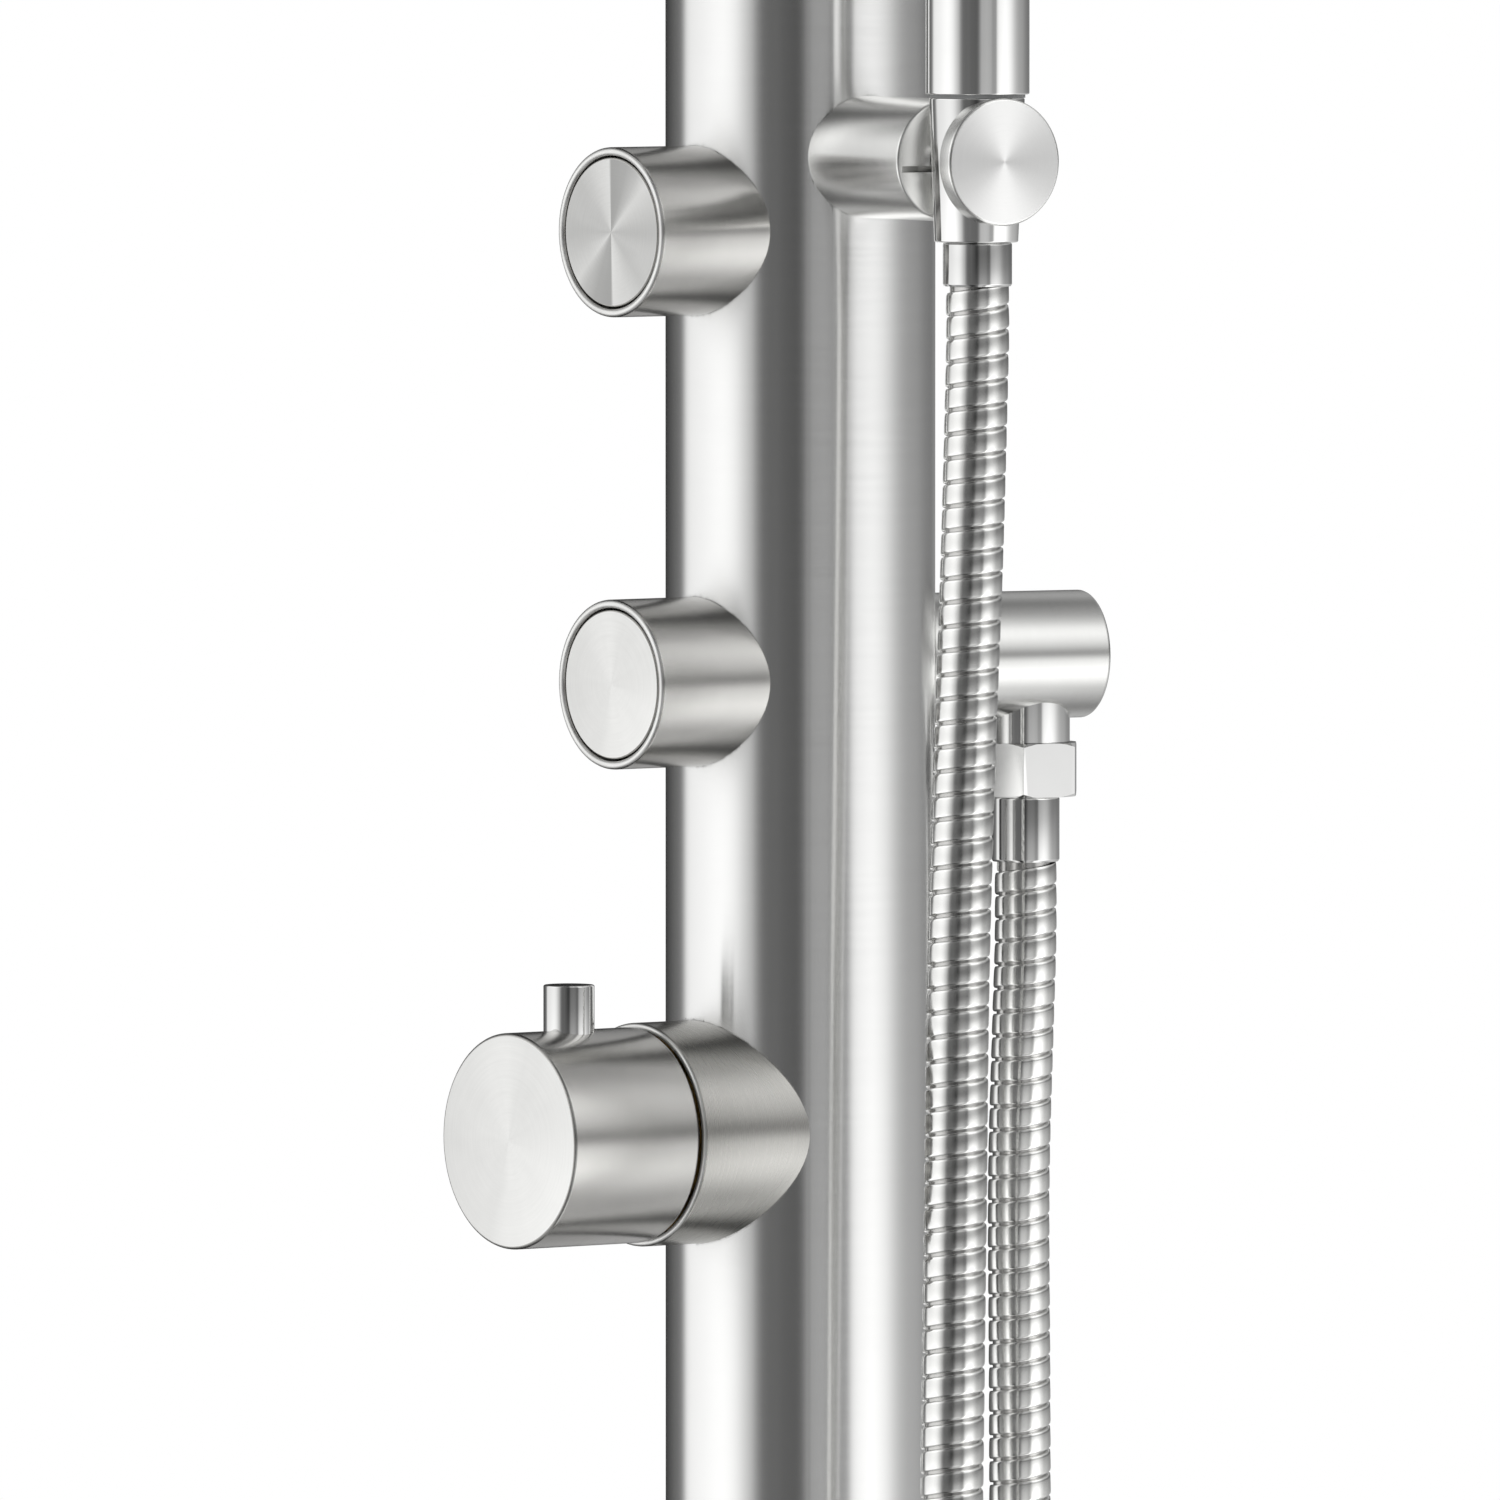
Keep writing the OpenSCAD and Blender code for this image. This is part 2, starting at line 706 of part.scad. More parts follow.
// Nylon ring between the ball and its nut
module ball_seat() color(plastic) upright(mixer_azimuth, ball_at) translate([0, 0, ball_z])
    intersection() {
        difference() {
            sphere(r = seat_r);
            sphere(r = ball_r + fit);
        }
        rod(2 * seat_r, -seat_half, seat_half);
    }

module ball_nut() color(polished) upright(mixer_azimuth, ball_at) translate([0, 0, ball_z])
    difference() {
        turned(ball_nut_d, ball_nut_bottom, ball_nut_top, edge);
        sphere(r = cavity_r);
        rod(ball_mouth_d, 0, ball_nut_top + overrun);
    }

// Spun upper half of the head, with the boss that carries the ball nut
module head_shell() color(brushed) upright(mixer_azimuth, ball_at) translate([0, 0, ball_z])
    difference() {
        rotate_extrude() polygon([
            [0, ball_nut_bottom - seat], [ball_nut_d / 2, ball_nut_bottom - seat],
            [ball_nut_d / 2, head_boss_bottom],
            [head_r - head_edge, head_top_z], [head_r, head_top_z - head_edge],
            [head_r, head_bottom_z], [0, head_bottom_z]
        ]);
        sphere(r = cavity_r);
        rod(stem_d, head_bottom_z - overrun, 0);
        rod(2 * (face_r + seat), head_bottom_z - overrun, head_top_z - head_wall);
    }

// Calls its child at each nozzle of the head
module nozzle_places() for (ring = [1:nozzle_rings], i = [0:nozzle_per_ring * ring - 1])
    rotate([0, 0, i * 360 / (nozzle_per_ring * ring)]) translate([ring * ring_pitch, 0, 0]) children();

module head_face() color(brushed) upright(mixer_azimuth, ball_at)
    translate([0, 0, ball_z + head_bottom_z]) linear_extrude(head_face_t) difference() {
        circle(r = face_r);
        nozzle_places() circle(d = nozzle_d + 2 * fit, $fn = 24);
    }

module head_nozzles() color(silicone) upright(mixer_azimuth, ball_at)
    translate([0, 0, ball_z + head_bottom_z]) {
        rod(2 * (face_r - edge), head_face_t + seat, head_face_t + seat + mat_t);
        translate([0, 0, -nozzle_out]) nozzle_places()
            cylinder(d = nozzle_d, h = nozzle_out + head_face_t + mat_t, $fn = 24);
    }

// Turned arm of the holder, with a slit across the end that faces the socket
module holder_arm() color(brushed) difference() {
    toward(holder_azimuth, holder_z) difference() {
        turned(holder_arm_d, 0, holder_arm_end, holder_edge);
        rod(holder_bolt_d + 2 * fit, 0, holder_bolt_end + edge);
        rod(spigot_d + 2 * fit, spigot_start - edge, holder_arm_end + overrun);
        translate([-holder_arm_d, -arm_slit_drop - arm_slit / 2, holder_arm_end - arm_slit_depth])
            cube([holder_arm_d, arm_slit, arm_slit_depth + overrun]);
    }
    column_space(holder_z, column_d);
}

module holder_bolt() color(polished) toward(holder_azimuth, holder_z) difference() {
    union() {
        rod(holder_bolt_d, valve_body_r + 2 * edge, holder_bolt_end);
        intersection() {
            rod(holder_bolt_head_d, valve_body_r + 2 * edge, column_in_r);
            rotate([90, 0, 0]) rod(2 * (column_in_r - 2 * seat), -column_r, column_r);
        }
    }
    translate([0, 0, valve_body_r + edge])
        cylinder(d = holder_bolt_d * holder_bolt_hex_share, h = holder_bolt_head_t, $fn = 6);
}

// Outside of the tapered socket, grown by a clearance where one is given
module socket_outside(grow) upright(holder_azimuth, socket_at) translate([0, 0, socket_bottom])
    cylinder(d1 = socket_bottom_d + 2 * grow, d2 = socket_top_d + 2 * grow, h = socket_top - socket_bottom);

// Tapered socket with its spigot and the slot for the hose
module holder_socket() color(polished) difference() {
    union() {
        socket_outside(0);
        toward(holder_azimuth, holder_z) rod(spigot_d, spigot_start, socket_at);
    }
    upright(holder_azimuth, socket_at) translate([0, 0, socket_bottom]) {
        cylinder(d1 = socket_bore_bottom_d, d2 = socket_bore_top_d, h = socket_top - socket_bottom);
        rod(socket_bore_top_d, socket_top - socket_bottom - seat, socket_top);
        rod(socket_bore_bottom_d, -overrun, seat);
        translate([0, -socket_slot_w / 2, -overrun])
            cube([socket_top_d, socket_slot_w, socket_top - socket_bottom + 2 * overrun]);
    }
}

module holder_disc() color(brushed) difference() {
    toward(holder_azimuth, holder_z)
        turned(disc_d, disc_face - disc_t, disc_face, holder_edge, holder_edge);
    socket_outside(seat);
}

module outlet_barrel() color(brushed) difference() {
    toward(outlet_azimuth, outlet_z) difference() {
        turned(outlet_d, 0, outlet_end, holder_edge);
        rod(outlet_d - 2 * outlet_wall, -overrun, outlet_end - outlet_wall);
    }
    column_space(outlet_z, column_d);
    upright(outlet_azimuth, nipple_at) rod(neck_d + 2 * fit, neck_bottom, outlet_z);
}

// Feed from the hand valve to the block that carries the nipple
module outlet_fitting() color(brass) toward(outlet_azimuth, outlet_z) difference() {
    union() {
        rod(feed_d, valve_floor + seat, feed_block_from + edge);
        rod(outlet_d - 2 * outlet_wall - 2 * seat, feed_block_from, outlet_end - outlet_wall - seat);
    }
    rod(nipple_bore - edge, valve_floor, nipple_at);
    translate([0, 0, nipple_at]) rotate([90, 0, 0])
        rod(neck_d + 2 * fit, outlet_z - neck_top - edge, outlet_d);
}

module outlet_nipple() color(polished) upright(outlet_azimuth, nipple_at) difference() {
    union() {
        rod(neck_d, neck_bottom - edge, neck_top);
        turned(nipple_thread_d, lower_flange_top + washer_t, neck_bottom, 0, edge);
    }
    rod(nipple_bore, nut_bottom, neck_top + overrun);
}

// Six-sided prism with its corners turned off at both ends
module hexagon_nut(flats, h) {
    corners = flats / cos(30);
    intersection() {
        rotate([0, 0, 30]) cylinder(d = corners, h = h, $fn = 6);
        turned(corners, 0, h, nut_edge, nut_edge);
    }
}

module hose_nut() color(polished) upright(outlet_azimuth, nipple_at) difference() {
    translate([0, 0, nut_bottom]) rotate([0, 0, nut_turn]) hexagon_nut(nut_flats, nut_h);
    rod(nipple_thread_d + 2 * fit, nut_bottom + nut_lip, nut_top + overrun);
    rod(neck_bore, nut_bottom - overrun, nut_top);
}

module lower_washer() color(rubber) upright(outlet_azimuth, nipple_at)
    hollow(lower_flange_d, neck_bore, lower_flange_top, lower_flange_top + washer_t);

// Crimped end of the hose: a sleeve below, a neck through the nut and a flange inside it
module ferrule(bottom, top, flange_bottom, flange_top, flange_d) color(polished) difference() {
    union() {
        turned(ferrule_d, bottom, top, edge / 2);
        rod(ferrule_neck_d, top - edge, flange_top);
        rod(flange_d, flange_bottom, flange_top);
    }
    rod(hose_bore - 2 * edge, bottom - overrun, flange_top + overrun);
}

module lower_ferrule() upright(outlet_azimuth, nipple_at)
    ferrule(lower_ferrule_bottom, lower_ferrule_top, lower_flange_bottom, lower_flange_top, lower_flange_d);

module upper_ferrule() upright(holder_azimuth, socket_at)
    ferrule(upper_ferrule_bottom, upper_ferrule_top, upper_flange_bottom, upper_flange_top, upper_flange_d);

module upper_washer() color(rubber) upright(holder_azimuth, socket_at)
    hollow(upper_flange_d, neck_bore, upper_flange_top, upper_flange_top + washer_t);

// Tapered nut that hangs in the socket and screws onto the handset
module cone_nut() color(polished) upright(holder_azimuth, socket_at) difference() {
    translate([0, 0, cone_bottom])
        cylinder(d1 = cone_bottom_d, d2 = cone_top_d, h = cone_top - cone_bottom);
    rod(stub_d + 2 * fit, upper_flange_bottom - seat, stem_bottom);
    rod(neck_bore, cone_bottom - overrun, stem_bottom);
}

module handset_stem() color(polished) upright(holder_azimuth, socket_at) difference() {
    union() {
        turned(handset_d, stem_bottom, stem_top, 0, stem_edge);
        rod(stub_d, stem_bottom - stub_len, stem_bottom + edge);
    }
    rod(handset_d - 2 * handset_wall - 2 * edge, stem_bottom + stem_floor, stem_top + overrun);
    rod(stub_bore, stem_bottom - stub_len - overrun, stem_top);
    spray_window(spray_gap, handset_d);
}

// Rounded slot on the outer side of the stem, from behind the spray plate outwards
module spray_window(grow, reach) translate([0, spray_back - spray_flat, spray_top - spray_len / 2])
    rotate([90, 0, 0]) linear_extrude(reach) spray_outline(grow);

module spray_outline(grow) {
    half = spray_len / 2 - spray_w / 2;
    for (end = [-1, 1]) translate([0, end * half]) circle(d = spray_w + 2 * grow);
    square([spray_w + 2 * grow, 2 * half], center = true);
}

module handset_cap() color(polished) upright(holder_azimuth, socket_at) {
    turned(handset_d, stem_top + seat, stem_top + cap_t, stem_edge);
    rod(handset_d - 2 * handset_wall - 2 * edge - 2 * seat, stem_top - spray_t, stem_top + edge);
}

// Calls its child at each nozzle of the handset
module spray_places() for (row = [0:spray_rows - 1], x = spray_columns)
    translate([x, (row - (spray_rows - 1) / 2) * (spray_len - spray_w) / (spray_rows - 1)]) children();

module spray_plate() color(brushed) upright(holder_azimuth, socket_at)
    translate([0, -spray_flat + spray_t, spray_top - spray_len / 2])
        rotate([90, 0, 0]) linear_extrude(spray_t) difference() {
            spray_outline(0);
            spray_places() circle(d = spray_nozzle_d + 2 * fit, $fn = 16);
        }

module spray_nozzles() color(silicone) upright(holder_azimuth, socket_at)
    translate([0, -spray_flat + spray_t, spray_top - spray_len / 2]) rotate([90, 0, 0]) {
        translate([0, 0, -seat - edge]) linear_extrude(edge) spray_outline(-edge);
        spray_places() translate([0, 0, -edge])
            cylinder(d = spray_nozzle_d, h = edge + spray_t + spray_nozzle_out, $fn = 16);
    }

// One point on the smooth curve through four neighbouring points
function along(a, b, c, d, t) = 0.5 * (2 * b + (c - a) * t
    + (2 * a - 5 * b + 4 * c - d) * t * t + (3 * b - a - 3 * c + d) * t * t * t);
function unit(v) = v / norm(v);

// Hanging metal hose: a ribbed outside and a smooth bore, swept along the route
module handset_hose() {
    last = len(hose_route) - 1;
    fine = [for (i = [0:last - 1], k = [0:hose_steps - 1])
        let (b = hose_route[i], c = hose_route[i + 1],
            a = i == 0 ? 2 * b - c : hose_route[i - 1],
            d = i == last - 1 ? 2 * c - b : hose_route[i + 2])
        along(a, b, c, d, k / hose_steps)];
    line = concat(fine, [hose_route[last]]);
    lengths = [for (i = 0, s = 0; i < len(line);
        s = s + (i < len(line) - 1 ? norm(line[i + 1] - line[i]) : 0), i = i + 1) s];
    total = lengths[len(lengths) - 1];
    table = [for (axis = [0:2]) [for (i = [0:len(line) - 1]) [lengths[i], line[i][axis]]]];
    stops = concat([0], [for (i = [0:hose_ribs - 1], side = [0, 1])
        total * (i + 0.5 + (side - 0.5) * hose_crest_share) / hose_ribs], [total]);
    outer = [for (i = [0:len(stops) - 1])
        each hose_ring(table, total, stops[i],
            hose_d / 2 - (i == 0 || i == len(stops) - 1 || i % 2 == 0 ? 0 : hose_groove))];
    inner = [for (i = [0:hose_bore_rings - 1])
        each hose_ring(table, total, total * i / (hose_bore_rings - 1), hose_bore / 2)];
    color(polished) polyhedron(concat(outer, inner),
        hose_faces(len(stops), hose_bore_rings, hose_sides), convexity = 20);
}

function hose_point(table, s) = [for (axis = [0:2]) lookup(s, table[axis])];

// Ring of points round the route at a length along it
function hose_ring(table, total, s, r) = let (
        step = hose_d / 4,
        way = unit(hose_point(table, min(s + step, total)) - hose_point(table, max(s - step, 0))),
        side = unit(cross(way, hose_across)),
        over = cross(side, way),
        middle = hose_point(table, s))
    [for (k = [0:hose_sides - 1]) let (a = k * 360 / hose_sides)
        middle + r * (cos(a) * side + sin(a) * over)];

// Triangles of the outside, of the bore and of the two ring-shaped ends
function hose_faces(outer, inner, sides) = let (
        first = outer * sides, last_outer = (outer - 1) * sides, last_inner = first + (inner - 1) * sides)
    concat(
        [for (i = [0:outer - 2], k = [0:sides - 1], half = [0, 1])
            let (n = (k + 1) % sides, a = i * sides + k, b = i * sides + n)
            half == 0 ? [a, a + sides, b] : [b, a + sides, b + sides]],
        [for (i = [0:inner - 2], k = [0:sides - 1], half = [0, 1])
            let (n = (k + 1) % sides, a = first + i * sides + k, b = first + i * sides + n)
            half == 0 ? [a, b, a + sides] : [b, b + sides, a + sides]],
        [for (k = [0:sides - 1], half = [0, 1])
            let (n = (k + 1) % sides)
            half == 0 ? [k, n, first + k] : [n, first + n, first + k]],
        [for (k = [0:sides - 1], half = [0, 1])
            let (n = (k + 1) % sides)
            half == 0 ? [last_outer + k, last_inner + k, last_outer + n]
                : [last_outer + n, last_inner + k, last_inner + n]]
    );

base_plate();
base_collar();
base_screws();
column();
column_cap();
hot_inlet();
cold_inlet();
hot_pipe();
cold_pipe();
mixer_body();
mixer_cartridge();
mixer_ring_nut();
mixer_sleeve();
mixer_spindle();
mixer_knob();
mixer_lever();
mixed_water_pipe();
hand_valve_body();
hand_valve_cartridge();
hand_button_barrel();
hand_button();
hand_button_spring();
link_pipe();
head_valve_body();
head_valve_cartridge();
head_button_barrel();
head_button();
head_button_spring();
riser_pipe();
arm_elbow();
head_arm();
arm_pipe();
ball_stem();
ball_seat();
ball_nut();
head_shell();
head_face();
head_nozzles();
holder_arm();
holder_bolt();
holder_socket();
holder_disc();
outlet_barrel();
outlet_fitting();
outlet_nipple();
hose_nut();
lower_washer();
lower_ferrule();
handset_hose();
upper_ferrule();
upper_washer();
cone_nut();
handset_stem();
handset_cap();
spray_plate();
spray_nozzles();
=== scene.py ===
"""Outdoor shower column in brushed stainless steel: its looks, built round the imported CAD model.
Lengths are written in millimetres and turned to metres by MM. +Z runs up the column, -Y is the
side of the controls, and azimuths are measured round the column from -Y towards +X."""
import math

import bmesh
import bpy
import numpy as np
from mathutils import Matrix, Vector


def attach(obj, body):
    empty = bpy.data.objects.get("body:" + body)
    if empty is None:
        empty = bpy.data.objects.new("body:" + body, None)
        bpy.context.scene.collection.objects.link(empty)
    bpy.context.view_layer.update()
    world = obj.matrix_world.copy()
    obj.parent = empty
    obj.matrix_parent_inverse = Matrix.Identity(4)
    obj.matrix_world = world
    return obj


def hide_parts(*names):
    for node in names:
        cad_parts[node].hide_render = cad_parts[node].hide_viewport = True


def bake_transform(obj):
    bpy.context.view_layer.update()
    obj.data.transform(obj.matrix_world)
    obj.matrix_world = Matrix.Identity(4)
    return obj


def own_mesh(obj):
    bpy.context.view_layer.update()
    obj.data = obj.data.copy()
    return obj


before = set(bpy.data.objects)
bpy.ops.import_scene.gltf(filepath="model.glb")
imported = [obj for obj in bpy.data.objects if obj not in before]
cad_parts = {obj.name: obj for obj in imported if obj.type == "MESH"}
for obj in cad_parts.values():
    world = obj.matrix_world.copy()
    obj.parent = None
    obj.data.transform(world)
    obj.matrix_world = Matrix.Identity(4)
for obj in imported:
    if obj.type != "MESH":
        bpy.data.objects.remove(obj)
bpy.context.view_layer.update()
MM = 0.001

# Camera: a long lens at the photograph's viewing angle
CAMERA_AZIMUTH, CAMERA_PITCH = 51.4, 2.8
CAMERA_DISTANCE = 5100
CAMERA_LENS, CAMERA_SENSOR = 550, 36
CAMERA_NEAR, CAMERA_FAR = 100, 100000
AIM = Vector((-7.0, -8.75, 1133.9)) * MM


def direction(azimuth, elevation=0.0):
    """Unit vector that points outwards at an azimuth and an elevation."""
    a, e = math.radians(azimuth), math.radians(elevation)
    return Vector((math.sin(a) * math.cos(e), -math.cos(a) * math.cos(e), math.sin(e)))


def make_camera():
    data = bpy.data.cameras.new("camera")
    data.sensor_width, data.sensor_fit, data.lens = CAMERA_SENSOR, "HORIZONTAL", CAMERA_LENS
    data.clip_start, data.clip_end = CAMERA_NEAR * MM, CAMERA_FAR * MM
    camera = bpy.data.objects.new("camera", data)
    bpy.context.scene.collection.objects.link(camera)
    back = direction(CAMERA_AZIMUTH, CAMERA_PITCH)
    camera.rotation_mode = "QUATERNION"
    camera.location = AIM + back * CAMERA_DISTANCE * MM
    camera.rotation_quaternion = (-back).to_track_quat("-Z", "Y")
    bpy.context.scene.camera = camera


# Nodes
MATHS, VECTOR_MATHS = "ShaderNodeMath", "ShaderNodeVectorMath"
FIRST_COLOUR, SECOND_COLOUR, MIXED_COLOUR = 6, 7, 2     # sockets of a Mix node set to colour


def linear(hex_colour):
    """sRGB hex to linear RGBA."""
    parts = [int(hex_colour[i:i + 2], 16) / 255 for i in (1, 3, 5)]
    return [c / 12.92 if c <= 0.04045 else ((c + 0.055) / 1.055) ** 2.4 for c in parts] + [1.0]


def feed(tree, node, inputs):
    """Sets inputs of a node, each to a value, an output socket, or the first output of a node."""
    for name, value in inputs.items():
        if isinstance(value, bpy.types.Node):
            value = value.outputs[0]
        if isinstance(value, bpy.types.NodeSocket):
            tree.links.new(value, node.inputs[name])
        else:
            node.inputs[name].default_value = value


def add(tree, kind, inputs=None, **settings):
    """Adds a node with its settings and inputs."""
    node = tree.nodes.new(kind)
    for name, value in settings.items():
        setattr(node, name, value)
    feed(tree, node, inputs or {})
    return node


# Materials. UV map "lay" has U in turns round a turned piece and V in metres along its profile.
LAY = "lay"
HIGHLIGHT_TURN = 0.25                   # spreads each highlight across the grooves
GROOVE_TURN = 1.2                       # how fast the grooves change round the girth
GROOVE_DEPTH, GROOVE_SWING = 0.1, 0.08  # swing is the share by which they vary the roughness
PATCH_TURN, PATCH_WIDTH = 1.6, 16       # the same for broad patches, and their width
FAN_SPAN, FAN_START = -2.0, 1.5         # lays the painted fan of shade twice round, clockwise from 12 o'clock
# Painted shade by the clock, as (share of the half turn, tone): dark blades standing in for the upper
# button's reflection, and a faint fan of painted shade for the other faces
PAINTED_BLADE_SHADE = [(0, 0.5), (0.12, 0.56), (0.2, 0.72), (0.27, 0.98), (0.5, 0.84), (0.75, 0.78),
              (0.9, 0.92), (0.985, 0.95), (1, 0.5)]
FAINT_PAINTED_FAN = [(0, 0.96), (0.1, 0.9), (0.22, 0.95), (0.4, 1.0), (0.8, 0.98), (1, 0.96)]


def new_material(name, colour, metallic, roughness, **constants):
    """Principled material; constants are set on the shader's own sockets."""
    made = bpy.data.materials.new(name)
    made.use_nodes = True
    tree = made.node_tree
    shader = tree.nodes["Principled BSDF"]
    feed(tree, shader, {"Base Color": linear(colour), "Metallic": metallic, "Roughness": roughness})
    feed(tree, shader, {socket.replace("_", " "): value for socket, value in constants.items()})
    return made, tree, shader


def object_noise(tree, size_mm, seed):
    """Noise through the piece, with spots of a size."""
    place = add(tree, "ShaderNodeTexCoord").outputs["Object"]
    return add(tree, "ShaderNodeTexNoise", {"Vector": place, "Scale": 1 / (size_mm * MM), "Detail": 3.0,
                                            "W": seed}, noise_dimensions="4D")


def groove_noise(tree, across_mm, around, seed):
    """Noise drawn out round the girth. U goes round a circle here, so the pattern has no seam."""
    lay = add(tree, "ShaderNodeSeparateXYZ", {"Vector": add(tree, "ShaderNodeUVMap", uv_map=LAY)})
    angle = add(tree, MATHS, {0: lay.outputs["X"], 1: 2 * math.pi}, operation="MULTIPLY")
    ring = [add(tree, MATHS, {0: add(tree, MATHS, {0: angle}, operation=wave), 1: around},
                operation="MULTIPLY") for wave in ("COSINE", "SINE")]
    across = add(tree, MATHS, {0: lay.outputs["Y"], 1: 1 / (across_mm * MM)}, operation="MULTIPLY")
    place = add(tree, "ShaderNodeCombineXYZ", {"X": ring[0], "Y": ring[1], "Z": across})
    return add(tree, "ShaderNodeTexNoise", {"Vector": place, "Scale": 1.0, "Detail": 2.0,
                                            "Roughness": 0.6, "W": seed}, noise_dimensions="4D")


def painted_fan_shade(tree, fan):
    """Painted shade of a turned face by the clock, as (share of the half turn, tone), in both halves alike,
    standing in for the light and dark that fan out in its reflection.
    """
    lay = add(tree, "ShaderNodeSeparateXYZ", {"Vector": add(tree, "ShaderNodeUVMap", uv_map=LAY)})
    turns = add(tree, MATHS, {0: lay.outputs["X"], 1: FAN_SPAN, 2: FAN_START}, operation="MULTIPLY_ADD")
    ramp = add(tree, "ShaderNodeValToRGB", {"Fac": add(tree, MATHS, {0: turns}, operation="FRACT")})
    blades = ramp.color_ramp.elements
    for place, _ in fan[1:-1]:
        blades.new(place)
    for blade, (place, tone) in zip(blades, fan):
        blade.position, blade.color = place, (tone, tone, tone, 1)
    return ramp


def brushed_steel(name, colour, roughness, spread, contrast, groove_mm, seed, fan=None):
    """AISI 304 stainless steel with a fine directional polish: each groove blurs what it reflects
    across itself, by spread, and leaves it sharp along itself. Real grooves are 0.05 to 0.1 mm
    apart, drawn coarser here so that they show."""
    made, tree, shader = new_material(name, colour, 1.0, roughness, Anisotropic=spread,
                                      Anisotropic_Rotation=HIGHLIGHT_TURN)
    grooves = groove_noise(tree, groove_mm, GROOVE_TURN, seed)
    patches = groove_noise(tree, PATCH_WIDTH, PATCH_TURN, seed + 5)
    shade = add(tree, "ShaderNodeMapRange", {
        "Value": add(tree, MATHS, {0: grooves, 1: patches}, operation="ADD"),
        "From Min": 0.6, "From Max": 1.4, "To Min": 1 - contrast, "To Max": 1.0})
    # A painted fan of shade, multiplied into the colour, stands in for the face's reflection
    if fan:
        shade = add(tree, MATHS, {0: shade, 1: painted_fan_shade(tree, fan)}, operation="MULTIPLY")
    tone = add(tree, "ShaderNodeMix", {"Factor": 1.0, FIRST_COLOUR: linear(colour), SECOND_COLOUR: shade},
               data_type="RGBA", blend_type="MULTIPLY")
    rough = add(tree, "ShaderNodeMapRange", {
        "Value": grooves, "From Min": 0.3, "From Max": 0.7,
        "To Min": roughness * (1 - GROOVE_SWING), "To Max": roughness * (1 + GROOVE_SWING)})
    bump = add(tree, "ShaderNodeBump", {"Height": grooves, "Strength": 0.02, "Distance": GROOVE_DEPTH * MM})
    tangent = add(tree, "ShaderNodeTangent", direction_type="UV_MAP", uv_map=LAY)
    feed(tree, shader, {"Base Color": tone.outputs[MIXED_COLOUR], "Roughness": rough, "Normal": bump,
                        "Tangent": tangent})
    return made


def polished(name, colour, dull, roughness, haze_mm, seed):
    """Chromium plate: near mirror, with a faint haze of wiping marks in a duller colour."""
    made, tree, shader = new_material(name, colour, 1.0, roughness)
    haze = object_noise(tree, haze_mm, seed)
    rough = add(tree, "ShaderNodeMapRange", {"Value": haze, "From Min": 0.35, "From Max": 0.7,
                                             "To Min": roughness * 0.7, "To Max": roughness * 1.4})
    tone = add(tree, "ShaderNodeMix", {"Factor": haze, FIRST_COLOUR: linear(colour),
                                       SECOND_COLOUR: linear(dull)}, data_type="RGBA")
    feed(tree, shader, {"Base Color": tone.outputs[MIXED_COLOUR], "Roughness": rough})
    return made


def grained(name, colour, darker, metallic, roughness, grain_mm, depth_mm, seed, **constants):
    """A plain finish with grain in a darker colour and a little depth."""
    made, tree, shader = new_material(name, colour, metallic, roughness, **constants)
    grain = object_noise(tree, grain_mm, seed)
    tone = add(tree, "ShaderNodeMix", {"Factor": grain, FIRST_COLOUR: linear(colour),
                                       SECOND_COLOUR: linear(darker)}, data_type="RGBA")
    bump = add(tree, "ShaderNodeBump", {"Height": grain, "Strength": 0.3, "Distance": depth_mm * MM})
    feed(tree, shader, {"Base Color": tone.outputs[MIXED_COLOUR], "Normal": bump})
    return made


# Column: tube polished round its girth on a belt, so that light lies on it in crisp upright bands
tube_steel = brushed_steel("brushed_tube_steel", "#efefee", roughness=0.22, spread=0.92, contrast=0.03,
                           groove_mm=0.5, seed=1.0)
# Arms, cap, collar, head shell and disc: turned bar, whose fine rings smear light along the piece
turned_steel = brushed_steel("turned_bar_steel", "#f2f2f0", roughness=0.25, spread=0.8, contrast=0.05,
                             groove_mm=0.45, seed=2.0)
# Outlet: the same turned bar, rubbed less, so that it is a shade greyer
outlet_steel = brushed_steel("turned_outlet_steel", "#dddddb", roughness=0.25, spread=0.8, contrast=0.05,
                             groove_mm=0.45, seed=5.5)
# Button barrels and knob: left as turned, greyer than the polished bar and with a warm cast
barrel_steel = brushed_steel("turned_barrel_steel", "#cac9c6", roughness=0.25, spread=0.8, contrast=0.06,
                             groove_mm=0.4, seed=2.5)
# Mixer sleeve: turned with a coarser feed, so that it is the dullest and its rings show
sleeve_steel = brushed_steel("turned_sleeve_steel", "#bcbbb7", roughness=0.28, spread=0.8, contrast=0.06,
                             groove_mm=0.45, seed=6.5)
# Face of the upper button: faced on a lathe, with two darker blades of painted shade that fan out from its
# centre, standing in for its reflection
faced_steel_painted_blades = brushed_steel("faced_steel_painted_blades", "#f9f9f7", roughness=0.38, spread=0.95, contrast=0.14,
                            groove_mm=0.4, seed=3.0, fan=PAINTED_BLADE_SHADE)
# Faces of the lower button and knob, and rims: faced and then rubbed, pale, with a faint fan of painted
# shade; on the rims of the barrels and the sleeve the paler steel is a painted highlight
rubbed_steel_painted_light = brushed_steel("rubbed_face_steel_painted_light", "#f6f6f4", roughness=0.32, spread=0.75, contrast=0.1,
                             groove_mm=0.5, seed=3.5, fan=FAINT_PAINTED_FAN)
# Face of the holder's disc: faced with a fine feed, so its light fans out softly on near white
disc_steel = brushed_steel("fine_faced_steel", "#f9f9f8", roughness=0.46, spread=0.65, contrast=0.06,
                           groove_mm=0.35, seed=4.5)
# Hose: stainless strip with chromium plate, so that each turn shows small bright and dark bars
hose_chrome = polished("hose_chrome", "#f4f4f2", "#ececea", roughness=0.17, haze_mm=4, seed=1.0)
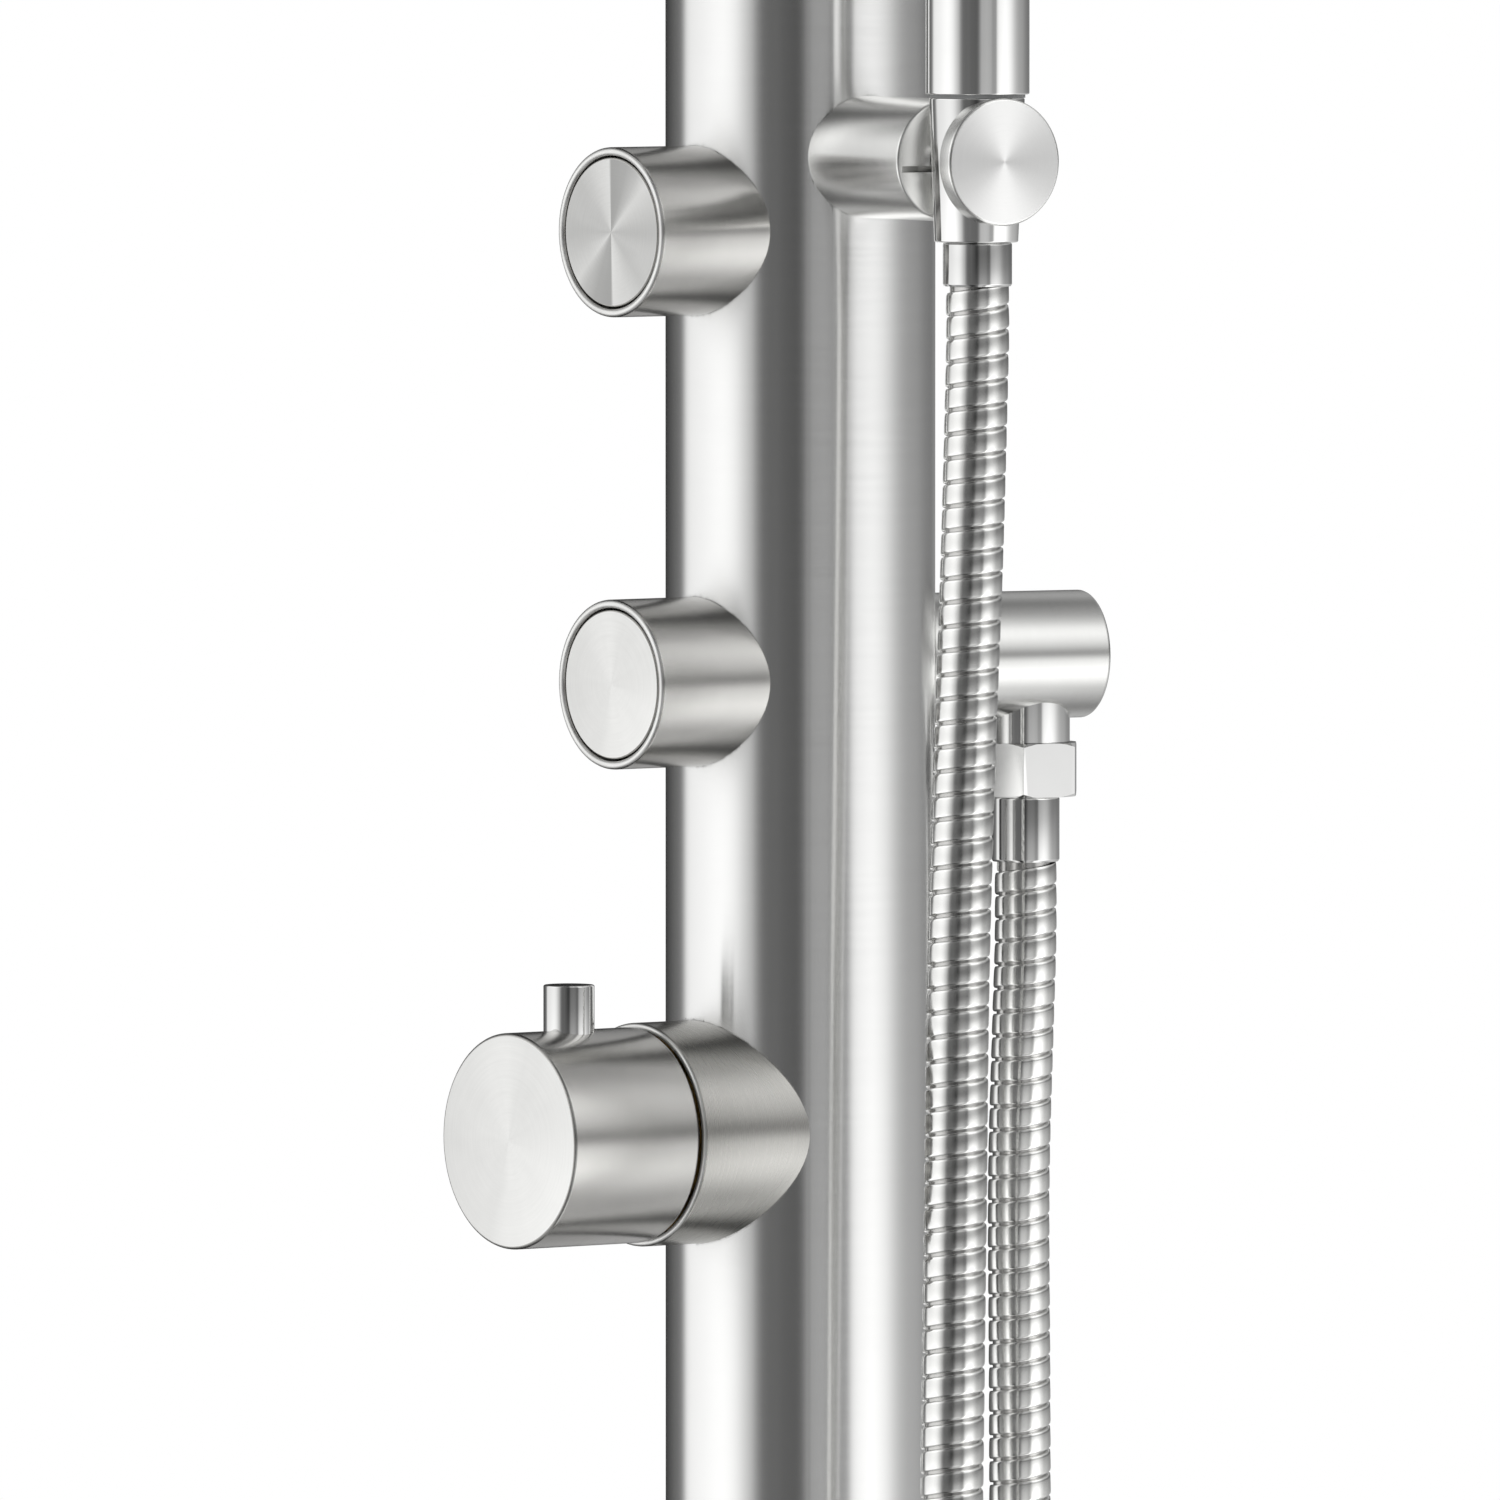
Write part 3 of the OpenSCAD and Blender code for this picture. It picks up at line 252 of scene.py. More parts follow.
# Groove between the turns: the strip's lower step in chromium plate, made greyer as painted shade in the
# grooves
hose_groove_shade_chrome = polished("hose_groove_painted_shade", "#d9d8d6", "#cbcac8", roughness=0.2, haze_mm=3, seed=7.0)
# Socket, nut, ferrules, lever pin and handset: buffed chromium plate, with crisp reflections
bright_chrome = polished("bright_chrome", "#f0f0ef", "#e8e8e7", roughness=0.07, haze_mm=9, seed=2.0)
# Base plate, head face and spray plate: rolled sheet with a satin finish, evenly soft
satin_steel = grained("satin_sheet_steel", "#d9d8d5", "#cfcecb", metallic=1.0, roughness=0.34, grain_mm=2.5,
                      depth_mm=0.004, seed=4.0)
# Water fittings: turned brass, yellow with a fine grain
machined_brass = grained("machined_brass", "#c9a765", "#b7935a", metallic=1.0, roughness=0.32, grain_mm=1.5,
                         depth_mm=0.02, seed=3.0)
# Water pipes: drawn copper, pinkish and a little dulled
drawn_copper = grained("drawn_copper", "#c88a6b", "#b5745a", metallic=1.0, roughness=0.3, grain_mm=5.0,
                       depth_mm=0.02, seed=4.0)
# Cartridges and ball seat: moulded nylon, milky with a fine moulded grain
valve_nylon = grained("moulded_nylon", "#ecebe4", "#dfddd4", metallic=0.0, roughness=0.45, grain_mm=1.2,
                      depth_mm=0.03, seed=5.0)
# Nozzles, washers and the ring under the handset: silicone rubber, matt and soft to the light; on the ring
# the grey is painted shade in the joint
silicone = grained("silicone_rubber", "#808181", "#727373", metallic=0.0, roughness=0.6, grain_mm=0.8,
                   depth_mm=0.03, seed=6.0, Sheen_Weight=0.15)

# Meshes
COLUMN_R = 30.0
SADDLED = -1            # in place of a fillet: this corner lies on the cylinder that carries the piece
SMOOTH_BELOW = 32       # degrees: an edge above this angle stays sharp
BEVEL_ABOVE = 20        # degrees
NEARLY_HALF = 0.499     # most of a side that one fillet may use
OVERRUN = 5             # how far a cutting tool passes what it cuts


def rounded(corners, closed, saddle, steps=5):
    """Profile of (radius, distance, fillet) corners with the filleted ones turned into arcs. A
    corner marked SADDLED lies on a cylinder across the axis, at its distance from that surface."""
    spots = [Vector((r, z + (saddle if fillet == SADDLED else 0))) for r, z, fillet in corners]
    line = []
    for i, (r, z, fillet) in enumerate(corners):
        if fillet <= 0 or (not closed and i in (0, len(corners) - 1)):
            line.append((r, z, fillet == SADDLED))
            continue
        p, a, b = spots[i], spots[i - 1] - spots[i], spots[(i + 1) % len(spots)] - spots[i]
        half = a.angle(b) / 2
        cut = min(fillet / math.tan(half), a.length * NEARLY_HALF, b.length * NEARLY_HALF)
        start, end = p + a.normalized() * cut, p + b.normalized() * cut
        bow = cut * math.tan(half)
        middle = p + (a.normalized() + b.normalized()).normalized() * math.hypot(bow, cut)
        for k in range(steps + 1):
            spoke = (start - middle).lerp(end - middle, k / steps).normalized() * bow
            line.append((middle.x + spoke.x, middle.y + spoke.y, False))
    return line


def arc(radius, start, end, steps=14):
    """Corners on a circle about the local origin, from one polar angle to another."""
    return [(radius * math.cos(a), radius * math.sin(a), 0)
            for a in np.radians(np.linspace(start, end, steps))]


def saddled_foot(radius, bore):
    """Corners of a foot that fits the column, from its bore outwards, with its edge broken."""
    return [(bore, 0, SADDLED), (radius - 0.2, 0.02, SADDLED), (radius, 0.3, SADDLED)]


def outwards(azimuth, height):
    """Local +Z points outwards at an azimuth, local +Y upwards, at a height."""
    return (Matrix.Translation((0, 0, height * MM)) @ Matrix.Rotation(math.radians(azimuth), 4, "Z")
            @ Matrix.Rotation(math.radians(90), 4, "X"))


def standing(azimuth, distance, height=0.0, turn=0.0):
    """Local +Z points up, at a distance from the column's axis."""
    return (Matrix.Translation(direction(azimuth) * distance * MM + Vector((0, 0, height * MM)))
            @ Matrix.Rotation(math.radians(turn), 4, "Z"))


def new_piece(name, mesh, smooth_below=SMOOTH_BELOW):
    """Object whose edges stay sharp above an angle."""
    mesh.name = name
    mesh.polygons.foreach_set("use_smooth", [True] * len(mesh.polygons))
    mesh.set_sharp_from_angle(angle=math.radians(smooth_below))
    made = bpy.data.objects.new(name, mesh)
    bpy.context.scene.collection.objects.link(made)
    return made


def from_bmesh(name, bm):
    """Piece from a finished bmesh, with its faces turned outwards."""
    bmesh.ops.recalc_face_normals(bm, faces=bm.faces)
    mesh = bpy.data.meshes.new(name)
    bm.to_mesh(mesh)
    bm.free()
    return new_piece(name, mesh)


def lathe(name, corners, place, closed=False, saddle=COLUMN_R, segments=128, seam=180.0):
    """Turned piece. A closed profile makes a ring, an open one starts and ends on the axis."""
    line = rounded(corners, closed, saddle)
    bm = bmesh.new()
    lay = bm.loops.layers.uv.new(LAY)
    rings = []
    for r, z, on_saddle in line:
        ring = []
        for k in range(segments if r > 1e-6 else 1):
            a = 2 * math.pi * k / segments + math.radians(seam)
            x, y = r * math.cos(a), r * math.sin(a)
            up = math.sqrt(max(saddle ** 2 - x ** 2, 0)) + z if on_saddle else z
            ring.append(bm.verts.new(place @ Vector((x * MM, y * MM, up * MM))))
        rings.append(ring)
    run = [0.0]
    for a, b in zip(line, line[1:] + line[:1]):
        run.append(run[-1] + math.dist(a[:2], b[:2]) * MM)
    for i in range(len(rings) - (0 if closed else 1)):
        low, high = rings[i], rings[(i + 1) % len(rings)]
        for k in range(segments):
            n = (k + 1) % segments
            corners_at = [(low, k, k, 0), (low, n, k + 1, 0), (high, n, k + 1, 1), (high, k, k, 1)]
            if len(low) == 1:
                corners_at = [(low, 0, k + 0.5, 0)] + corners_at[2:]
            elif len(high) == 1:
                corners_at = corners_at[:2] + [(high, 0, k + 0.5, 1)]
            face = bm.faces.new([ring[v] for ring, v, _, _ in corners_at])
            for loop, (_, _, u, v) in zip(face.loops, corners_at):
                loop[lay].uv = (u / segments, run[i + v])
    return from_bmesh(name, bm)


def prism(name, outline, low, high, place):
    """Straight solid with a flat outline of (x, y) points."""
    bm = bmesh.new()
    rings = [[bm.verts.new(place @ Vector((x * MM, y * MM, z * MM))) for x, y in outline]
             for z in (low, high)]
    bm.faces.new(rings[0])
    bm.faces.new(rings[1])
    for k in range(len(outline)):
        n = (k + 1) % len(outline)
        bm.faces.new([rings[0][k], rings[0][n], rings[1][n], rings[1][k]])
    return from_bmesh(name, bm)


def box(x, y):
    """Outline of a rectangle from its two spans."""
    return [(x[0], y[0]), (x[1], y[0]), (x[1], y[1]), (x[0], y[1])]


def carve(piece, tool, operation="DIFFERENCE", bevel=0.0, smooth_below=SMOOTH_BELOW):
    """The piece with a tool cut out of it, or what both share, as a plain mesh again."""
    modifier = piece.modifiers.new("cut", "BOOLEAN")
    modifier.operation, modifier.object, modifier.solver = operation, tool, "EXACT"
    if bevel:
        edge = piece.modifiers.new("edge", "BEVEL")
        edge.width, edge.segments, edge.limit_method = bevel * MM, 2, "ANGLE"
        edge.angle_limit = math.radians(BEVEL_ABOVE)
    graph = bpy.context.evaluated_depsgraph_get()
    mesh = bpy.data.meshes.new_from_object(piece.evaluated_get(graph))
    name = piece.name
    for old in (piece, tool):
        bpy.data.objects.remove(old)
    return new_piece(name, mesh, smooth_below)


def run_nodes(name, mesh, tree, values):
    """Result of a Geometry Nodes tree on a mesh, as an object with a plain mesh and no modifier."""
    source = bpy.data.objects.new(name + "_source", mesh)
    bpy.context.scene.collection.objects.link(source)
    modifier = source.modifiers.new("shape", "NODES")
    modifier.node_group = tree
    for item in tree.interface.items_tree:
        if item.in_out == "INPUT" and item.name in values:
            modifier[item.identifier] = values[item.name]
    graph = bpy.context.evaluated_depsgraph_get()
    result = bpy.data.meshes.new_from_object(source.evaluated_get(graph))
    bpy.data.objects.remove(source)
    result.name = name
    made = bpy.data.objects.new(name, result)
    bpy.context.scene.collection.objects.link(made)
    return made


def dress(piece, material, body, slot, *nodes):
    """Gives a piece its material and its body, and hides the CAD nodes that it stands for. The slot is not
    used.
    """
    if material is not None:
        piece.data.materials.clear()
        piece.data.materials.append(material)
    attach(piece, body)
    if nodes:
        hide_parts(*nodes)
    return piece


def face_finish(piece, side, face, axis, least=0.97):
    """Side material for a turned piece, and face material where it looks along the axis, by at
    least this cosine."""
    piece.data.materials.clear()
    piece.data.materials.append(side)
    piece.data.materials.append(face)
    for polygon in piece.data.polygons:
        polygon.material_index = int(polygon.normal.dot(axis) > least)


# Places: what stands round the column, and the upright axes of the handset and of the hose's end
MIXER_Z, OUTLET_Z, HOLDER_Z = 1050, 1154, 1266.5
BUTTONS = {"hand": 1150, "head": 1250}
HOLDER_AZIMUTH, OUTLET_AZIMUTH = 81.0, 168.0
SOCKET_AT, NIPPLE_AT = 78.3, 56.4
SOCKET_LOW, SOCKET_HIGH = 1248.8, 1280.5
towards_user, towards_side = direction(0), direction(HOLDER_AZIMUTH)
at_mixer, at_holder = outwards(0, MIXER_Z), outwards(HOLDER_AZIMUTH, HOLDER_Z)
at_outlet = outwards(OUTLET_AZIMUTH, OUTLET_Z)
at_socket, at_nipple = standing(HOLDER_AZIMUTH, SOCKET_AT), standing(OUTLET_AZIMUTH, NIPPLE_AT)
BACK_SEAM = CAMERA_AZIMUTH + 90         # puts a column piece's seam on the side away from the camera
PAINTED_RIM_HIGHLIGHT = 0.45                              # cosine from which the end of a barrel takes its face's paler steel, as a painted highlight along its rim

# Hose: its route from the handset down, round the loop and up to the outlet
HOSE_D, HOSE_PITCH = 14.0, 5.3
STRIP_WIDTH, STRIP_HEIGHT, STRIP_ROUNDNESS = 4.75, 2.0, 0.36
STRIP_INSET = 0.05                      # keeps the strip inside the hose's diameter
STRIP_STEPS, STRIP_SIDES = 20, 20       # steps to a turn, and sides to the strip's section
CORE_R, CORE_SIDES = 6.1, 16
ACROSS = (0.7, 0.71, 0.0)               # a level direction that no stretch of the route runs along
HOSE_ROUTE = [
    (77.3, -12.2, 1239), (77.3, -12.2, 1232), (77.3, -12.2, 1225), (77.4, -13.8, 1180),
    (77.5, -16, 1135), (78.5, -18.5, 1089), (80, -20.5, 1040), (81.5, -22.5, 990),
    (83, -24.5, 935), (84.5, -26, 870), (86, -26.5, 800), (87, -26.5, 730), (88, -26, 660),
    (89, -24.6, 600), (89.9, -23.6, 545), (84.4, -17.3, 514.2), (67.7, -2, 491.7),
    (44.6, 18.2, 483.5), (21.5, 38.5, 491.7), (4.9, 53.8, 514.2), (-0.6, 60.2, 545),
    (-0.4, 61, 600), (0.4, 61, 660), (2, 61, 730), (3, 60.5, 800), (4.5, 60, 870),
    (6, 58.5, 935), (7.5, 57, 990), (9, 55.5, 1035), (11, 55, 1070), (11.7, 55.2, 1090),
    (11.7, 55.2, 1107.7)]
STRETCHES = ["hose_top", "hose_near_leg", "hose_loop"]
NEAR_LEG = (7, 14)                      # points of the route where the near leg starts and ends
ROUTE_STEPS, ROUTE_STEP = 40, 4.0       # fine points between two of the route, and their even spacing


def smooth_route(points):
    """Fine points on the curve through the route, the run at each, and the place of each point
    of the route among them."""
    p = [np.array(q, float) for q in points]
    p = [2 * p[0] - p[1]] + p + [2 * p[-1] - p[-2]]
    fine, marks = [], []
    for i in range(1, len(p) - 2):
        a, b, c, d = p[i - 1:i + 3]
        marks.append(len(fine))
        for t in np.linspace(0, 1, ROUTE_STEPS, endpoint=False):
            fine.append(0.5 * (2 * b + (c - a) * t + (2 * a - 5 * b + 4 * c - d) * t * t
                               + (3 * b - a - 3 * c + d) * t ** 3))
    fine.append(p[-2])
    marks.append(len(fine) - 1)
    fine = np.array(fine)
    run = np.concatenate([[0], np.cumsum(np.linalg.norm(np.diff(fine, axis=0), axis=1))])
    return fine, run, marks


def even(fine, run, start, end):
    """Points in metres at an even spacing along a stretch of the route."""
    count = max(2, int(round((end - start) / ROUTE_STEP)) + 1)
    stops = np.linspace(start, end, count)
    return [Vector([np.interp(s, run, fine[:, k]) * MM for k in range(3)]) for s in stops]


def named_inputs(tree, **kinds):
    """Gives a tree its geometry input and output and its named inputs, and returns the inputs."""
    tree.interface.new_socket("Geometry", in_out="INPUT", socket_type="NodeSocketGeometry")
    for name, kind in kinds.items():
        tree.interface.new_socket(name.replace("_", " "), in_out="INPUT", socket_type="NodeSocket" + kind)
    tree.interface.new_socket("Geometry", in_out="OUTPUT", socket_type="NodeSocketGeometry")
    return add(tree, "NodeGroupInput").outputs


def wound_strip_tree():
    """Geometry Nodes: a rounded strip wound on one right-handed helix round a line, turn beside
    turn, over a core, as a double-lock hose is made."""
    tree = bpy.data.node_groups.new("wound_strip", "GeometryNodeTree")
    given = named_inputs(tree, Helix_Radius="Float", Pitch="Float", Lead="Float", Points="Int",
                         Across="Vector", Width="Float", Height="Float", Roundness="Float",
                         Core_Radius="Float", Finish="Material", Core_Finish="Material")
    line = add(tree, "GeometryNodeMeshToCurve", {"Mesh": given["Geometry"]})
    steps = add(tree, "GeometryNodeResampleCurve", {"Curve": line, "Count": given["Points"]})
    # Frame at each step: the line's own direction, and two directions across it
    ahead = add(tree, "GeometryNodeInputTangent")
    share = add(tree, VECTOR_MATHS, {0: given["Across"], 1: ahead}, operation="DOT_PRODUCT")
    lengthwise = add(tree, VECTOR_MATHS, {0: ahead, "Scale": share.outputs["Value"]}, operation="SCALE")
    sideways = add(tree, VECTOR_MATHS, {0: given["Across"], 1: lengthwise}, operation="SUBTRACT")
    across = add(tree, VECTOR_MATHS, {0: sideways}, operation="NORMALIZE")
    third = add(tree, VECTOR_MATHS, {0: across, 1: ahead}, operation="CROSS_PRODUCT")
    # Spoke that turns once in a pitch, from the line to the middle of the strip
    length = add(tree, "GeometryNodeSplineParameter").outputs["Length"]
    run = add(tree, MATHS, {0: length, 1: given["Lead"]}, operation="ADD")
    turns = add(tree, MATHS, {0: run, 1: given["Pitch"]}, operation="DIVIDE")
    angle = add(tree, MATHS, {0: turns, 1: 2 * math.pi}, operation="MULTIPLY")
    legs = [add(tree, VECTOR_MATHS, {0: way, "Scale": add(tree, MATHS, {0: angle}, operation=wave)},
                operation="SCALE") for way, wave in ((third, "COSINE"), (across, "SINE"))]
    spoke = add(tree, VECTOR_MATHS, {0: legs[0], 1: legs[1]}, operation="ADD")
    kept = add(tree, "GeometryNodeCaptureAttribute", {"Geometry": steps}, domain="POINT")
    kept.capture_items.new("VECTOR", "Spoke")
    feed(tree, kept, {"Spoke": spoke})
    offset = add(tree, VECTOR_MATHS, {0: kept.outputs["Spoke"], "Scale": given["Helix Radius"]},
                 operation="SCALE")
    helix = add(tree, "GeometryNodeSetPosition", {"Geometry": kept, "Offset": offset})
    upright = add(tree, "GeometryNodeSetCurveNormal", {"Curve": helix, "Normal": kept.outputs["Spoke"]},
                  mode="FREE")
    # Section of the strip: a circle drawn out to a rounded bar
    circle = add(tree, "GeometryNodeCurvePrimitiveCircle", {"Resolution": STRIP_SIDES, "Radius": 1.0})
    spot = add(tree, "ShaderNodeSeparateXYZ", {"Vector": add(tree, "GeometryNodeInputPosition")})

    def drawn_out(value, size):
        """Coordinate on the circle to the one on a bar of this size."""
        far = add(tree, MATHS, {0: value}, operation="ABSOLUTE")
        bulge = add(tree, MATHS, {0: far, 1: given["Roundness"]}, operation="POWER")
        side = add(tree, MATHS, {0: value}, operation="SIGN")
        signed = add(tree, MATHS, {0: side, 1: bulge}, operation="MULTIPLY")
        half = add(tree, MATHS, {0: size, 1: 0.5}, operation="MULTIPLY")
        return add(tree, MATHS, {0: signed, 1: half}, operation="MULTIPLY")

    section = add(tree, "ShaderNodeCombineXYZ", {"X": drawn_out(spot.outputs["X"], given["Height"]),
                                                 "Y": drawn_out(spot.outputs["Y"], given["Width"])})
    bar = add(tree, "GeometryNodeSetPosition", {"Geometry": circle, "Position": section})
    bore = add(tree, "GeometryNodeCurvePrimitiveCircle", {
        "Resolution": CORE_SIDES, "Radius": given["Core Radius"]})
    both = add(tree, "GeometryNodeJoinGeometry")
    for path, outline, finish in ((line, bore, "Core Finish"), (upright, bar, "Finish")):
        swept = add(tree, "GeometryNodeCurveToMesh", {
            "Curve": path, "Profile Curve": outline, "Fill Caps": True})
        feed(tree, both, {"Geometry": add(tree, "GeometryNodeSetMaterial", {
            "Geometry": swept, "Material": given[finish]})})
    whole = add(tree, "GeometryNodeRealizeInstances", {"Geometry": both})
    add(tree, "NodeGroupOutput", {"Geometry": whole})
    return tree


def wound_hose(name, tree, points, lead):
    """One stretch of the hose; lead is the length of hose before it, so that the helix carries on."""
    mesh = bpy.data.meshes.new(name + "_line")
    mesh.from_pydata([tuple(p) for p in points], [(i, i + 1) for i in range(len(points) - 1)], [])
    length = sum((b - a).length for a, b in zip(points, points[1:]))
    return run_nodes(name, mesh, tree, {
        "Helix Radius": ((HOSE_D - STRIP_HEIGHT) / 2 - STRIP_INSET) * MM, "Pitch": HOSE_PITCH * MM,
        "Lead": lead, "Points": int(length / (HOSE_PITCH * MM) * STRIP_STEPS) + 1, "Across": ACROSS,
        "Width": STRIP_WIDTH * MM, "Height": STRIP_HEIGHT * MM, "Roundness": STRIP_ROUNDNESS,
        "Core Radius": CORE_R * MM, "Finish": hose_chrome, "Core Finish": hose_groove_shade_chrome})


def make_hose():
    """The stretches of the hose, each with its piece, its line and its length. The top and the near leg
    are baked in place in their meshes, and the loop is attached to the frame and stays with the column."""
    tree = wound_strip_tree()
    fine, run, marks = smooth_route(HOSE_ROUTE)
    stops = [0.0] + [run[marks[point]] for point in NEAR_LEG] + [run[-1]]
    hose = {}
    for name, start, end in zip(STRETCHES, stops, stops[1:]):
        line = even(fine, run, start, end)
        piece = wound_hose(name, tree, line, start * MM)
        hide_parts("handset_hose")
        hose[name] = piece, line, (end - start) * MM
    (top, top_line, _), (near, near_line, _), (loop, _, _) = hose.values()
    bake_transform(top)
    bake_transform(near)
    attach(loop, "frame")
    return hose


# Fittings on the hose: a ferrule at each end, the cone nut in the socket, the nut on the outlet
FERRULE_R, FERRULE_LIP_R, FERRULE_BORE, FERRULE_LIP = 7.6, 7.3, 3.0, 0.5
NUT_FLATS, NUT_LOW, NUT_HIGH = 22.4, 1122.5, 1134.5
NUT_TURN, NUT_CORNER, NUT_CHAMFER, NUT_EDGE = 1.0, 1.4, 0.8, 0.25
NUT_SMOOTH_BELOW = 14                   # keeps the chamfers out of the shading of the flats
UPPER_FERRULE = (1239.1, 1242, SOCKET_LOW - 0.1)  # foot, seat of the hose, top
LOWER_FERRULE = (1107.8, 1111, NUT_LOW - 0.2)
CONE_LOW, CONE_SEAT, CONE_HIGH = SOCKET_LOW + 0.1, 1262, SOCKET_HIGH + 0.1
CONE_SMALL_R, CONE_LARGE_R, CONE_BORE, CONE_STEM_BORE = 8.0, 9.15, 5.0, 7.3


def ferrule(name, heights, place, body, node):
    """Crimped sleeve over the end of the hose, with a lip."""
    foot, seat, top = heights
    turned = lathe(name, [
        (FERRULE_BORE, top, 0), (FERRULE_R, top, 0.5), (FERRULE_R, foot + FERRULE_LIP, 0.3),
        (FERRULE_LIP_R, foot, 0.1), (HOSE_D / 2, foot, 0), (HOSE_D / 2, seat, 0), (FERRULE_BORE, seat, 0)],
        place, closed=True, segments=64)
    return dress(turned, bright_chrome, body, "polished_chrome", node)


def make_cone_nut():
    """Tapered nut on the hose that wedges in the holder's socket."""
    turned = lathe("cone_nut_turned", [
        (CONE_BORE, CONE_LOW, 0), (CONE_SMALL_R, CONE_LOW, 0.3), (CONE_LARGE_R, CONE_HIGH, 0.3),
        (CONE_STEM_BORE, CONE_HIGH, 0), (CONE_STEM_BORE, CONE_SEAT, 0), (CONE_BORE, CONE_SEAT, 0)],
        at_socket, closed=True, segments=64)
    return dress(turned, bright_chrome, "handset", "polished_chrome", "cone_nut")


def make_hose_nut():
    """Hexagon with its corners turned off at both ends."""
    corner = NUT_FLATS / 2 / math.cos(math.pi / 6)
    hexagon = [(corner * math.cos(math.radians(60 * k + 30)), corner * math.sin(math.radians(60 * k + 30)))
               for k in range(6)]
    body = prism("hose_nut_hexagon", hexagon, NUT_LOW, NUT_HIGH,
                 standing(OUTLET_AZIMUTH, NIPPLE_AT, turn=OUTLET_AZIMUTH + NUT_TURN))
    turning = lathe("nut_turning", [
        (0, NUT_LOW, 0), (corner - NUT_CORNER, NUT_LOW, 0), (corner, NUT_LOW + NUT_CHAMFER, 0),
        (corner, NUT_HIGH - NUT_CHAMFER, 0), (corner - NUT_CORNER, NUT_HIGH, 0), (0, NUT_HIGH, 0)],
        at_nipple)
    nut = carve(body, turning, "INTERSECT", NUT_EDGE, NUT_SMOOTH_BELOW)
    return dress(nut, bright_chrome, "frame", "polished_chrome", "hose_nut")


def declare_hose(hose):
    """Makes the fittings, and lists for each stretch the fittings that it carries."""
    upper = ferrule("ferrule_upper", UPPER_FERRULE, at_socket, "handset", "upper_ferrule")
    lower = ferrule("ferrule_lower", LOWER_FERRULE, at_nipple, "frame", "lower_ferrule")
    fittings = {"hose_top": [upper, make_cone_nut(), "upper_washer"], "hose_near_leg": [],
                "hose_loop": [lower, make_hose_nut(), "lower_washer"]}


# Column with its cap and the collar at its foot
TUBE_WALL, TUBE_LOW, TUBE_TOP = 2.0, 10, 2200
CAP_HEIGHT, CAP_PLUG, CAP_GAP = 3.0, 12.0, 0.1
COLLAR_R, COLLAR_TOP, COLLAR_FILLET, COLLAR_GAP, COLLAR_LIFT = 42, 24, 3.6, 0.05, 0.02
SCREW_Z, SCREW_HOLE_R, SCREW_AZIMUTHS = 32, 3, (60, 180, 300)
SCREW_CUT = 10                          # how far the cut for a screw reaches past the tube's skin


def make_column():
    inside = COLUMN_R - TUBE_WALL
    tube = lathe("column_tube", [
        (inside, TUBE_LOW, 0), (COLUMN_R, TUBE_LOW, 0.2), (COLUMN_R, TUBE_TOP, 0.2), (inside, TUBE_TOP, 0)],
        Matrix.Identity(4), closed=True, segments=192, seam=BACK_SEAM)
    near, far = COLUMN_R - SCREW_CUT, COLUMN_R + SCREW_CUT
    for azimuth in SCREW_AZIMUTHS:
        hole = lathe("screw_hole", [
            (0, near, 0), (SCREW_HOLE_R, near, 0), (SCREW_HOLE_R, far, 0), (0, far, 0)],
            outwards(azimuth, SCREW_Z), segments=32)
        tube = carve(tube, hole)
    dress(tube, tube_steel, "frame", "brushed_steel", "column")
    plug = inside - CAP_GAP
    lid = lathe("column_lid", [
        (0, TUBE_TOP - CAP_PLUG, 0), (plug, TUBE_TOP - CAP_PLUG, 0.5), (plug, TUBE_TOP + CAP_GAP, 0),
        (COLUMN_R, TUBE_TOP + CAP_GAP, 0.15), (COLUMN_R, TUBE_TOP + CAP_HEIGHT, 1.0),
        (0, TUBE_TOP + CAP_HEIGHT, 0)], Matrix.Identity(4), segments=192, seam=BACK_SEAM)
    dress(lid, turned_steel, "frame", "brushed_steel", "column_cap")
    bore, low = COLUMN_R + COLLAR_GAP, TUBE_LOW + COLLAR_LIFT
    collar = lathe("foot_collar", [
        (bore, low, 0), (COLLAR_R, low, 0.2), (COLLAR_R, COLLAR_TOP, COLLAR_FILLET), (bore, COLLAR_TOP, 0.6)],
        Matrix.Identity(4), closed=True, segments=192, seam=BACK_SEAM)
    dress(collar, turned_steel, "frame", "brushed_steel", "base_collar")


# Mixer: the sleeve on the column, the hollow knob and its lever pin
SLEEVE_R, SLEEVE_BORE, SLEEVE_END = 24.8, 23.2, 46.6
KNOB_R, KNOB_FOOT, KNOB_FACE, KNOB_WALL, KNOB_FRONT = 23.9, 47.4, 82.5, 2.4, 3.0
BOSS_R, BOSS_INSET = 9.0, 3.0
SPINDLE_BORE, SPINDLE_END = 4.05, 77.55
PIN_R, PIN_TOP, PIN_AT, PIN_SUNK, PIN_CORE_SUNK = 5.65, 34, 65.5, 0.6, 2.5


